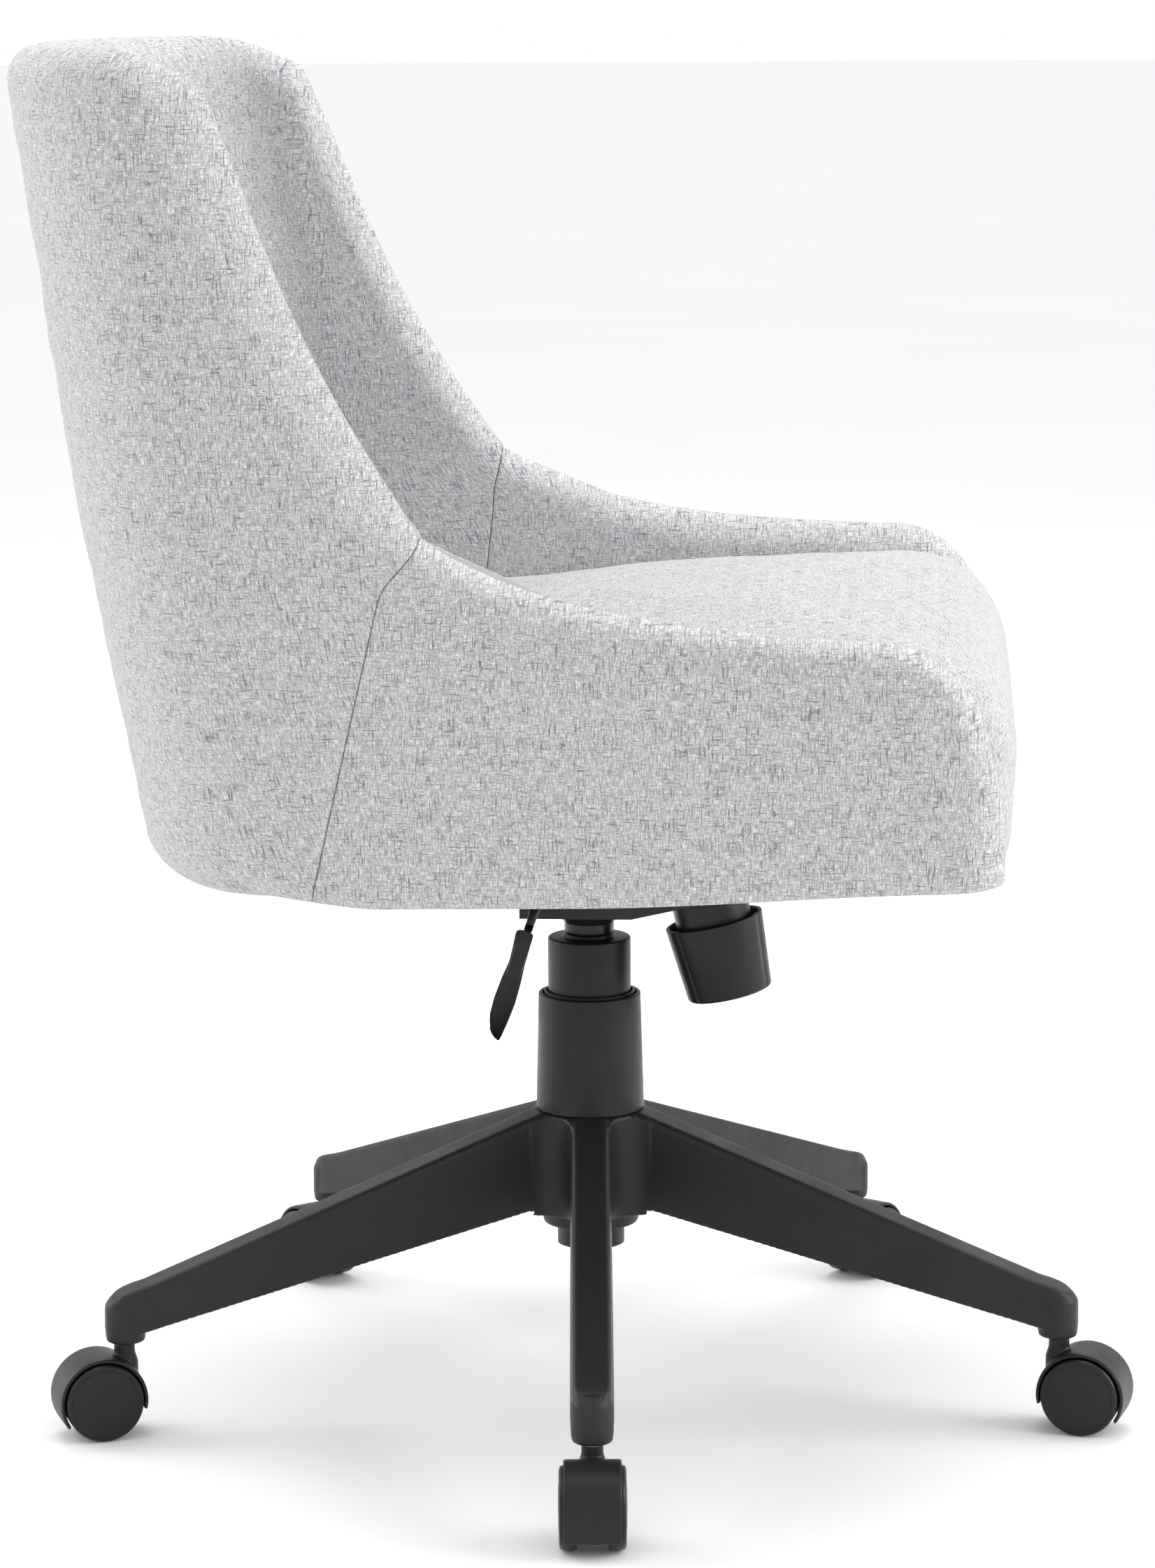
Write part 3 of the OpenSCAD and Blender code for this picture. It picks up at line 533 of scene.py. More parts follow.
def back_piece():
    """Back and wings as one closed skin. t runs round the plan and q from the hem to the top."""
    f = 1 - (1 - np.linspace(0, 1, 31)) ** 2
    t_right = SIDE_T + (1 - SIDE_T) * f
    mid = np.linspace(-SIDE_T, SIDE_T, 103)
    t = np.concatenate([-t_right[::-1], mid[1:-1], t_right])
    q = np.concatenate([0.026 * (np.arange(8) / 8) ** 2, np.linspace(0.026, 0.945, 92)[:-1],
                        1 - 0.055 * (1 - np.arange(15) / 14) ** 2])
    rings, weaves = [], []
    hi = back_top(plan(t, np.full_like(t, 868.0))[1])
    lo = rim_z(plan(t, np.full_like(t, 380.0))[1])
    for qq in q:
        z = lo + qq * (hi - lo)
        v, u = plan(t, z)
        nv, nu = plan_n(t, z)
        th = PAD + 16 * np.cos(np.pi / 2 * np.minimum(1, np.abs(t) / SIDE_T)) ** 2 * (1 - qq)
        du = np.where(np.abs(t) > 0.5, wing_u(z) - u, 999.0)
        opened = step((z - KINK_Z + 14) / 28)
        dz, dlow = hi - z, z - lo
        both = []
        for s in (1, -1):
            g_end = edge(du, 41.0 if s > 0 else 22.0, 1.5 if s > 0 else 2.0, 0.03)
            g_top = edge(dz, 24.0, 2.0, 0.05)
            r_low = 10.0 + 15.0 * step((-150 - u) / 45) if s > 0 else np.full_like(u, 5.0)
            x = np.clip((r_low - dlow) / r_low, 0, 1)
            g_low = 1 - np.minimum(r_low, 20) / (th / 2) * (1 - np.sqrt(np.maximum(0, 1 - x ** 2)))
            x = np.clip((SEAM_R - du) / SEAM_R, 0, 1)
            g_seam = 1 - SEAM_R / (th / 2) * (1 - np.sqrt(np.maximum(0, 1 - x ** 2)))
            g = g_top * g_low * ((1 - opened) * g_seam + opened * g_end)
            off = g * th / 2 * s
            calm = step(du / 30) * step(dz / 30) * step(dlow / 25)
            relief = 0.75 * waves(v, u, z, 95.0, 5) + 0.28 * waves(v, u, z, 31.0, 6)
            if s > 0:
                crease = -0.7 * np.exp(-((du - 42) / 4.5) ** 2) * opened * step(dz / 40)
                near_kink = np.exp(-((du - 20) / 16) ** 2) * np.exp(-((z - 612) / 16) ** 2)
                off = off + crease + 0.35 * np.sin((z + 0.7 * u) / 3.1) * near_kink
            else:
                relief = relief + 1.6 * np.exp(-((z - 690) / 120) ** 2) * np.exp(-(v / 120) ** 2)
            off = off + s * relief * calm
            fore = 0.0 if s > 0 else seam_shift(z) * step(1 - du / 90)
            x, y = v - nv * th / 2 + nv * off, -(u - nu * th / 2 + nu * off + fore)
            both.append(np.stack([x, y, z], axis=1))
        run = np.concatenate([[0], np.cumsum(np.hypot(np.diff(v), np.diff(u)))])
        run = (run - run[len(run) // 2]) / 1000
        rise = z / 1000
        w_out = np.stack([run, rise, np.zeros_like(run)], axis=1)
        w_in = np.stack([-1.2 - run, rise, np.zeros_like(run)], axis=1)
        rings.append(np.concatenate([both[0], both[1][::-1]]))
        weaves.append(np.concatenate([w_out, w_in[::-1]]))
    verts, weave, faces = shell_mesh(rings, weaves)
    ob = make_piece("back_upholstery", verts / 1000, faces, FABRIC, "seat", weave, sharp=60)
    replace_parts(ob, "back_padding")


def arm_ridge(u):
    return ARM_Z + 59 * np.exp(-(np.maximum(u, -78.3) + 78) / 92) - 33 * (np.maximum(0, u - 190) / 59) ** 2.5


def arm_end(q):
    return 266 - 17 * q ** 4 - 11 * np.maximum(0, 1 - q / 0.06) ** 2


def arm_piece(name, node, s):
    """One arm, s = -1 or 1. a runs forward from the seam and q from the hem to the ridge."""
    a = np.concatenate([0.016 * (np.arange(6) / 6) ** 2, np.linspace(0.016, 0.92, 74)[:-1],
                        1 - 0.08 * (1 - np.arange(15) / 14) ** 2])
    q = np.concatenate([0.07 * (np.arange(7) / 7) ** 2, np.linspace(0.07, 0.86, 34)[:-1],
                        1 - 0.14 * (1 - np.arange(15) / 14) ** 2])
    rings, weaves = [], []
    for qq in q:
        u0 = -110.0
        for _ in range(12):  # settles on the point where the seam crosses this row
            u0 = seam_u(rim_z(u0) + qq * (arm_ridge(u0) - rim_z(u0)))
        u0 = u0 + 0.3
        u = u0 + a * (arm_end(qq) - u0)
        ridge = arm_ridge(u)
        z = rim_z(u) + qq * (ridge - rim_z(u))
        dz, dend, dlow, dseam = ridge - z, arm_end(qq) - u, z - rim_z(u), u - u0
        both = []
        for side in (1, -1):
            reach = np.interp(u, [-100, 0, 45, 120, 260], [24, 22, 18, 13, 14]) if side > 0 else 22.0
            g_top = edge(dz, reach, 2.15 if side > 0 else 2.0, 0.03)
            g_end = edge(dend, 25.0 if side > 0 else 20.0, 1.7 if side > 0 else 2.0, 0.03)
            r_low = 10.0 if side > 0 else 5.0
            x = np.clip((r_low - dlow) / r_low, 0, 1)
            g_low = 1 - r_low / HALF_PAD * (1 - np.sqrt(np.maximum(0, 1 - x ** 2)))
            x = np.clip((SEAM_R - dseam) / SEAM_R, 0, 1)
            g_seam = 1 - SEAM_R / HALF_PAD * (1 - np.sqrt(np.maximum(0, 1 - x ** 2)))
            off = side * HALF_PAD * g_top * g_end * g_low * g_seam
            calm = step(dseam / 30) * step(dz / 25) * step(dlow / 20) * step(dend / 25)
            across = np.full_like(u, s * 40.0)
            relief = 0.9 * waves(u, z, across, 90.0, 11) + 0.3 * waves(u, z, across, 28.0, 12)
            if side > 0:
                knot = np.exp(-((u - 246) / 15) ** 2 - ((z - rim_z(u) - 9) / 9) ** 2)
                off = off + 1.6 * knot
                top_crease = -0.6 * np.exp(-((dz - reach - 1) / 3.0) ** 2) * step((u + 60) / 60)
                end_crease = -0.6 * np.exp(-((dend - 26) / 3.5) ** 2) * step(dz / 14)
                off = off + top_crease * step(dend / 12) + end_crease * step(dlow / 25)
                pucker = 0.3 * np.sin((z - 0.5 * u) / 2.9) * np.exp(-(dz - 12) ** 2 / 200)
                off = off + pucker * np.exp(-((u + 60) / 18) ** 2)
            off = off + side * relief * calm
            m = side_w(u, z) - HALF_PAD
            fore = 0.0 if side > 0 else seam_shift(z) * step(1 - dseam / 90)
            both.append(np.stack([s * (m + off), -(u + fore), z], axis=1))
        w_out = np.stack([u / 1000 * s + 2.0, z / 1000, np.zeros_like(u)], axis=1)
        w_in = np.stack([u / 1000 * s + 3.3, z / 1000 + 0.4, np.zeros_like(u)], axis=1)
        rings.append(np.concatenate([both[0], both[1][::-1]]))
        weaves.append(np.concatenate([w_out, w_in[::-1]]))
    verts, weave, faces = shell_mesh(rings, weaves)
    ob = make_piece(name, verts / 1000, faces, FABRIC, "seat", weave, sharp=60)
    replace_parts(ob, node)


back_piece()
arm_piece("arm_upholstery_right", "arm_padding_right", -1)
arm_piece("arm_upholstery_left", "arm_padding_left", 1)

# ---------------------------------------------------------------- seat cushion


def bucket(f, z, gap, front):
    """Inside of the bucket at height z on one side: f = 0 rear centre, 0.5 corner, 1 front end of the arm."""
    t = SIDE_T * np.minimum(f, 0.5) / 0.5
    v, u = plan(t, z)
    nv, nu = plan_n(t, z)
    th = PAD + 16 * np.cos(np.pi / 2 * t / SIDE_T) ** 2 * (1 - (z - 377) / 504)
    c = corner_u(z)
    u2 = c + (f - 0.5) / 0.5 * (front - c)
    side = f >= 0.5
    v = np.where(side, side_w(u2, z) - PAD - gap, v - nv * (th + gap))
    return v, np.where(side, u2, u - nu * (th + gap))


def board_line(u):
    return BOARD_Z + u * math.tan(RAKE)


CUSHION_FRONT, CUSHION_MID, CORNER_R = 274.5, 30, 44


def cushion_piece():
    """Crowned cushion that fills the bucket: rings from its bottom, up the sides and in to the crown."""
    half = 122
    sv = (np.arange(half) + 0.5) / half
    # height above the board, inset at the sides, inset at the front, scale about the middle
    knots = np.array([[16.0, 2.0, 2.2, 1], [30, 0.9, 1, 1], [58, 0.6, 0.2, 1], [86, 0.8, 5.0, 1],
                      [105, 1.6, 13.5, 1], [118, 5, 25, 1], [127, 15, 42, 1], [135, 15, 42, 0.84],
                      [140.7, 15, 42, 0.64], [146.4, 15, 42, 0.36]])

    def knot(x):
        """Smooth curve through the knots (Catmull-Rom)."""
        i = min(int(x), len(knots) - 2)
        f = x - i
        p = [knots[min(max(i + d, 0), len(knots) - 1)] for d in (-1, 0, 1, 2)]
        return 0.5 * (2 * p[1] + (p[2] - p[0]) * f + (2 * p[0] - 5 * p[1] + 4 * p[2] - p[3]) * f * f
                      + (3 * p[1] - p[0] - 3 * p[2] + p[3]) * f ** 3)

    def outline(z, side_in, front_in, scale=1.0):
        uc = CUSHION_FRONT - front_in - CORNER_R
        gap = 0.7 + side_in
        w = bucket(np.array([1.0]), z, gap, uc)[0][0]
        f = np.where(sv < 0.42, 0.5 * sv / 0.42, 0.5 + 0.5 * np.clip((sv - 0.42) / 0.3, 0, 1))
        v, u = bucket(f, z, gap, uc)
        b = np.pi / 2 * np.clip((sv - 0.72) / 0.28, 0, 1)
        corner = sv > 0.72
        v = np.where(corner, w * np.maximum(0, np.cos(b)) ** 0.4, v)
        u = np.where(corner, uc + CORNER_R * np.maximum(0, np.sin(b)) ** 0.4, u)
        # even spacing along the outline keeps the skin's cells regular
        run = np.concatenate([[0], np.cumsum(np.hypot(np.diff(v), np.diff(u)))])
        even = np.linspace(0, run[-1], half)
        v, u = np.interp(even, run, v), np.interp(even, run, u)
        v, u = v * scale, CUSHION_MID + (u - CUSHION_MID) * scale
        return np.concatenate([-v, v[::-1]]), np.concatenate([u, u[::-1]])

    def skin(v, u, h, low=0.0):
        dip = 6.5 * step((50 - u) / 120) * step((h - 90) / 30)
        return np.stack([v, -u, board_line(u) + h - dip - low * step((u - 236) / 14)], axis=1)

    rings = []
    v, u = outline(402.0, 7.0, 24.0)
    for k in (0.25, 0.5, 0.75, 1.0):
        rings.append(skin(v * k, CUSHION_MID + (np.minimum(u, 254.8) - CUSHION_MID) * k, 15.7))
    rings.append(skin(v, np.minimum(u, 255.0), 15.4, 18.0))
    for h, sd, fr, low in ((15.4, 5.0, 9.0, 18.4), (15.5, 3.4, 5.5, 17.8), (15.7, 2.4, 3.4, 14.5)):
        v, u = outline(402.0, sd, fr)
        rings.append(skin(v, u, h, low))
    curve = [np.linspace(0, 3, 22)[:-1], np.linspace(3, 6, 40)[:-1], np.linspace(6, 9, 26)]
    for x in np.concatenate(curve):
        h, sd, fr, sc = knot(x)
        v, u = outline(BOARD_Z + h, sd, fr, sc)
        rings.append(skin(v, u, h, 9.0 * max(0.0, 1 - x) ** 2))
    centre = np.array([0.0, -CUSHION_MID, board_line(CUSHION_MID) + 148.6])
    last = rings[-1]
    for k in range(1, 14):
        f = k / 14
        p = last + (centre - last) * f
        p[:, 2] = last[:, 2] + (centre[2] - last[:, 2]) * (2 * f - f * f)
        rings.append(p)
    k, m = len(rings), 2 * half
    bottom = np.array([[0.0, -CUSHION_MID, board_line(CUSHION_MID) + 15.7]])
    verts = np.concatenate(rings + [centre[None, :], bottom])
    faces = [(a * m + i, a * m + (i + 1) % m, (a + 1) * m + (i + 1) % m, (a + 1) * m + i)
             for a in range(k - 1) for i in range(m)]
    faces += [((k - 1) * m + i, (k - 1) * m + (i + 1) % m, k * m) for i in range(m)]
    faces += [((i + 1) % m, i, k * m + 1) for i in range(m)]
    x, y, z = verts[:, 0].copy(), verts[:, 1].copy(), verts[:, 2].copy()
    top = step((z - 480) / 40)
    verts[:, 2] += (waves(x, y, z, 130.0, 21) * 1.2 + waves(x, y, z, 42.0, 22) * 0.3) * top
    verts[:, 1] -= waves(x, y, z, 95.0, 23) * 1.0 * step((z - 405) / 25) * step((-y - 215) / 40)
    along = -y - (z - 530) * step((-y - 225) / 35)
    weave = np.stack([x / 1000 + 6, along / 1000, np.zeros(len(verts))], axis=1)
    ob = make_piece("seat_cushion_cover", verts / 1000, faces, FABRIC, "seat", weave, sharp=70)
    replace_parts(ob, "seat_cushion")


cushion_piece()

# ---------------------------------------------------------------- black cloth under the seat


def dust_cloth():
    """Thin two-faced sheet stapled under the seat board, cut out round the mechanism's plate."""
    f = np.linspace(0.0, 1, 240)
    line_v, line_u = bucket(f, 394.0, 5.2, 240.0)
    us = np.concatenate([np.linspace(-208.5, -150, 14)[:-1], np.linspace(-150, 240, 27)[:-1],
                         [240, 246, 252]])
    cols = 41
    verts, faces = [], []
    for layer in (0, 1):
        for u in us:
            w = float(np.interp(u, line_u, line_v)) - max(0.0, u - 240) * 0.6
            for j in range(cols):
                v = w * (2 * j / (cols - 1) - 1)
                sag = 0.45 * (0.5 + 0.5 * math.sin(v / 17 + 0.6) * math.cos(u / 23))
                sag *= float(step((abs(v) - 92) / 30))
                verts.append((v, -u, board_line(u) - 2.95 - 0.35 * layer - sag))
    rows, per = len(us), len(us) * cols

    def is_open(i, j):
        u = (us[i] + us[i + 1]) / 2
        w = float(np.interp(u, line_u, line_v))
        return -95 < u < 112 and abs(2 * (j + 0.5) / (cols - 1) - 1) * w < 90

    area, rim = 0.0, {}
    for i in range(rows - 1):
        for j in range(cols - 1):
            if is_open(i, j):
                continue
            a = i * cols + j
            quad = (a, a + 1, a + cols + 1, a + cols)
            faces.append(quad)
            faces.append(tuple(q + per for q in quad[::-1]))
            p = [np.array(verts[x]) for x in quad]
            area += 0.5 * np.linalg.norm(np.cross(p[2] - p[0], p[3] - p[1])) / 1e6
            for x, y in zip(quad, quad[1:] + quad[:1]):
                key = (min(x, y), max(x, y))
                rim[key] = None if key in rim else (x, y)
    faces += [(e[0], e[1], e[1] + per, e[0] + per) for e in rim.values() if e]
    used = sorted({v for q in faces for v in q})
    index = {v: i for i, v in enumerate(used)}
    ob = make_piece("dust_cloth", np.array([verts[v] for v in used]) / 1000,
                    [tuple(index[v] for v in q) for q in faces], FELT, "seat", sharp=50)
    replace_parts(ob, "underside_cloth")


dust_cloth()

# ---------------------------------------------------------------- star base

TURN = 180 + 4.35  # heading of the first leg, in degrees
STEM_R = 315.0  # hub to caster stem
LEG_LOW, LEG_HIGH = 13.5, 11.9  # half widths of a leg, at its open underside and at its top


def turned_by(k):
    """Matrix that turns leg 0 to leg k."""
    return Matrix.Rotation(math.radians(TURN + 72 * k), 4, "Z")


def leg_top(r):
    return 188.6 if r < 36 else 189.4 - (r - 36) * 0.349 if r < 300 else 97.2 - (r - 300) * 0.25


def leg_low(r):
    return 127 - (r - 35) * 0.222


def star_base():
    """Five ribbed channel legs with solid tips, stem bosses, curved webs between them and the hub's tube."""
    parts = []
    voxel = 1.15

    def solid(r, wb, wt, b, t, f=3.4):
        outline = [(-wb, b, 1.2), (wb, b, 1.2), (wt, t, f), (-wt, t, f)]
        return [(r, y, z) for y, z in rounded(outline, steps=5)]

    def channel(r, wall=3.0):
        b, t, wb, wt = leg_low(r), leg_top(r), LEG_LOW, LEG_HIGH
        outline = [(-wb, b, 0.8), (wall - wb, b, 0.8), (wall - wt, t - 3.5, 1.6), (wt - wall, t - 3.5, 1.6),
                   (wb - wall, b, 0.8), (wb, b, 0.8), (wt, t, 3.4), (-wt, t, 3.4)]
        return [(r, y, z) for y, z in rounded(outline, steps=4)]

    inner = loft([solid(r, LEG_LOW, LEG_HIGH, leg_low(r), leg_top(r)) for r in (24, 30, 36, 42, 47)])
    body = loft([channel(r) for r in (45, 60, 90, 120, 150, 180, 210, 240, 270, 292)])
    nose = ((307, 0.99, 66.5, 95.6), (313, 0.95, 66, 93.8), (318, 0.86, 66, 91.6), (322, 0.72, 66, 88.6),
            (325, 0.52, 66, 85.2), (326.8, 0.28, 67, 82.0))
    tip = loft([solid(290, LEG_LOW, LEG_HIGH, leg_low(290), leg_top(290)),
                solid(300, LEG_LOW, LEG_HIGH, 68.0, 97.2)]
               + [solid(r, 13.4 * w, 12.2 * w, b, t, min(3.4, 5 * w)) for r, w, b, t in nose])
    boss_line = [(0, 60.0, 0), (12.2, 60.0, 0.9), (13.0, 66, 1), (13.0, 84, 2), (9, 90, 2), (0, 90, 0)]
    boss = placed(lathe(boss_line, 40), Matrix.Translation((STEM_R - 1, 0, 0)))
    ribs = []
    for r in (84, 124, 164, 204, 244):
        lo, hi = leg_low(r) + 3, leg_top(r) - 3
        ribs.append(loft([[(x, -11.5, lo), (x, 11.5, lo), (x, 10.5, hi), (x, -10.5, hi)]
                          for x in (r, r + 2.6)]))
    # the web's edge is an arc that touches this leg's side and the next one's, bulging towards the hub
    arc_r, side, half = 19.5, 13.0, math.radians(36)
    far = (side + arc_r) / math.sin(half)
    cx, cy = far * math.cos(half), far * math.sin(half)
    start = math.atan2(side - cy, far * math.cos(half) - cx)
    next_leg = (far * math.cos(half) * math.cos(2 * half) + side * math.sin(2 * half),
                far * math.cos(half) * math.sin(2 * half) - side * math.cos(2 * half))
    end = math.atan2(next_leg[1] - cy, next_leg[0] - cx)
    turn = (end - start) % (2 * math.pi) - 2 * math.pi
    web_line = []
    for i in range(15):
        t = start + turn * i / 14
        web_line.append((cx + arc_r * math.cos(t), cy + arc_r * math.sin(t)))
    web_line.append((22 * math.cos(2 * half), 22 * math.sin(2 * half)))
    web_line.append((16 * math.cos(half), 16 * math.sin(half)))
    web_line.append((22.0, 0.0))
    web = loft([[(x, y, 121.0) for x, y in web_line],
                [(x, y, leg_top(math.hypot(x, y)) - 0.5) for x, y in web_line]])
    for k in range(5):
        m = turned_by(k)
        parts += [placed(p, m) for p in [inner, body, tip, boss, web] + ribs]
    parts.append(lathe([(23.9, 112.0, 0.5), (31, 112, 1.5), (33.5, 128, 2), (36.8, 188.6, 1.0),
                        (25.3, 188.6, 0.4)]))
    keep = 0.28
    ob = merged("five_star_base", parts, voxel, 5, keep, NYLON, "base")
    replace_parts(ob, "star_base")


star_base()

# ---------------------------------------------------------------- casters


AXLE_X, AXLE_Z = 17, 25  # the wheels' axle, behind the stem and above the floor


def caster_frame(k):
    return turned_by(k - 1) @ Matrix.Translation((STEM_R, 0, 0))


def extruded(line, low, high):
    """Prism along Y from an (x, z) outline."""
    return loft([[(x, low, z) for x, z in line], [(x, high, z) for x, z in line]])


def hood_parts():
    """Arched hood over the wheels, the web between them, the axle's boss and the neck round the stem."""
    section = rounded([(26.0, -17.5, 0.7), (28.4, -17.5, 1.1), (28.6, 0, 9), (28.4, 17.5, 1.1),
                       (26.0, 17.5, 0.7)], steps=3)
    shell = []
    for i in range(57):
        a = math.radians(-33.0 + (193.5 + 33.0) * i / 56)
        shell.append([(AXLE_X + r * math.cos(a), y, AXLE_Z + r * math.sin(a)) for r, y in section])
    web = [(AXLE_X + 26.6 * math.cos(math.radians(a)), AXLE_Z + 26.6 * math.sin(math.radians(a)))
           for a in np.linspace(-14.2, 194.2, 40)]
    axle = placed(lathe([(0, -9.2, 0), (8, -9.2, 0.8), (8, 9.2, 0.8), (0, 9.2, 0)], 40),
                  Matrix.Translation((AXLE_X, 0, AXLE_Z)) @ Matrix.Rotation(math.radians(90), 4, "X"))
    neck = lathe([(0, 27, 0), (8.6, 27, 0.5), (8.6, 47, 1.5), (6.7, 53, 1.5), (6.6, 59.4, 0.5),
                  (0, 59.4, 0)], 40)
    return [loft(shell), extruded(web, -4.0, 4.0), axle, neck]


def casters():
    """Five hoods from one moulded mesh, and ten wheels with a rounded tread and a dished disc."""
    voxel, keep = ((0.75, 0.35))
    first = merged("caster_hood", hood_parts(), voxel, 4, keep, SATIN, "caster_1")
    rest_mesh = first.data.copy()
    bpy.data.objects.remove(first)
    tread = [(4.1, -5.6, 0.3), (24.1, -5.6, 0.5), (25.0, -4.7, 0.7), (25.0, 3.1, 0.9), (24.2, 4.5, 0.8),
             (22.0, 5.15, 0.4), (21.5, 4.55, 0.3), (20.9, 4.75, 0.4), (12, 5.45, 4), (0, 5.6, 0),
             (0, 4.1, 0), (4.1, 4.1, 0.3)]
    wv, wf = lathe(tread, 88, 4)
    for k in range(1, 6):
        m = caster_frame(k)
        me = rest_mesh.copy()
        me.transform(Matrix.Scale(0.001, 4) @ m @ Matrix.Scale(1000, 4))
        hood = bpy.data.objects.new(f"hood_{k}", me)
        bpy.context.scene.collection.objects.link(hood)
        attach(hood, f"caster_{k}")
        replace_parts(hood, f"caster_hood_{k}")
        for w, s in (("a", 1), ("b", -1)):
            mw = m @ Matrix.Translation((AXLE_X, s * 15.05, AXLE_Z))
            mw = mw @ Matrix.Rotation(math.radians(-90 * s), 4, "X")
            wheel = make_piece(f"caster_wheel_{k}{w}", moved(wv, mw), wf, WHEEL, f"wheel_{k}{w}",
                               sharp=45)
            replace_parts(wheel, f"wheel_{k}{w}")
    bpy.data.meshes.remove(rest_mesh)


casters()

# ---------------------------------------------------------------- lift covers, socket, sleeve and knob

HERE = Matrix.Identity(4)
KNOB = Matrix.Translation((0, -77.3, 332.5)) @ Matrix.Rotation(math.radians(-12.5), 4, "X")

turned("cover_lower", "cover_outer",
       [(25.8, 188.95, 0.2), (35.3, 188.95, 0.9), (33.3, 266, 1.0), (30.8, 266, 0.5), (30.8, 191, 0.5),
        (25.8, 191, 0.3)], HERE, SATIN, "base", 128)
turned("cover_middle_stage", "cover_middle",
       [(28.1, 207, 0.3), (29.6, 207, 0.5), (29.6, 267.6, 0.7), (28.1, 267.6, 0.4)],
       HERE, SATIN, "cover_mid", 128)
turned("cover_upper", "cover_inner",
       [(25.5, 233.6, 0.3), (27, 233.6, 0.5), (27, 303, 1.6), (16.4, 303.1, 0.3), (16.2, 305.5, 0.9),
        (14.1, 305.5, 0.2), (14.1, 300.6, 0.2), (25.5, 300.6, 1.0)], HERE, SATIN, "lift", 128)
turned("socket_cone", "cone_socket",
       [(14.1, 306.1, 0.3), (16.2, 306.1, 0.9), (16.3, 312.6, 1.0), (19.9, 317.7, 1.0), (22, 318.2, 0.8),
        (22, 321.8, 0.8), (19, 322.2, 0.2), (19, 340, 0.5), (13.3, 340, 0.3)],
       HERE, GLOSS, "lift", 112)
turned("spring_housing", "spring_sleeve",
       [(23.1, -43.9, 0.4), (24.8, -43.9, 0.5), (24.8, -0.15, 1.2), (7.6, -0.15, 0.3), (7.6, -2.0, 0.3),
        (23.1, -2.0, 0.6)], KNOB, POWDER, "lift", 112)


def finger_flutes(r, z, angle):
    """Three shallow flutes round the knob's cup."""
    if r <= 27.0:
        return 0.0
    depth = 0.0
    for c in range(3):
        off = (angle - math.radians(248 + 120 * c) + math.pi) % (2 * math.pi) - math.pi
        depth += 1.1 * math.exp(-(off / 0.085) ** 2) * float(step((-z - 16) / 5))
    return depth


def tension_knob():
    profile = [(0, -68, 0), (27.6, -68, 2.2), (32, -18.0, 0.55), (29.8, -18.0, 0.7), (26.4, -64, 1.5),
               (17, -64, 0.8), (17, -50.6, 0.6), (5.1, -50.6, 0.3), (5.1, -63.8, 0), (0, -63.8, 0)]
    verts, faces = lathe(profile, 120, 5, finger_flutes)
    ob = make_piece("tilt_tension_knob", moved(verts, KNOB), faces, SATIN, "knob", sharp=40)
    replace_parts(ob, "tension_knob")


tension_knob()

# ---------------------------------------------------------------- height lever


def swept(path, sections):
    """Closed bar: path of (point, side, up), sections of (half width along each, squareness)."""
    rings = []
    n = 24
    for (p, side, up), (a, b, e) in zip(path, sections):
        ring = []
        for k in range(n):
            t = 2 * math.pi * k / n
            c, s = math.cos(t), math.sin(t)
            x = math.copysign(abs(c) ** e, c) * a
            y = math.copysign(abs(s) ** e, s) * b
            ring.append(tuple(p + side * x + up * y))
        rings.append(ring)
    return loft(rings)


LEVER_TURN = Vector((-166, 20, 356))  # the corner where the bar turns down into its flat strap


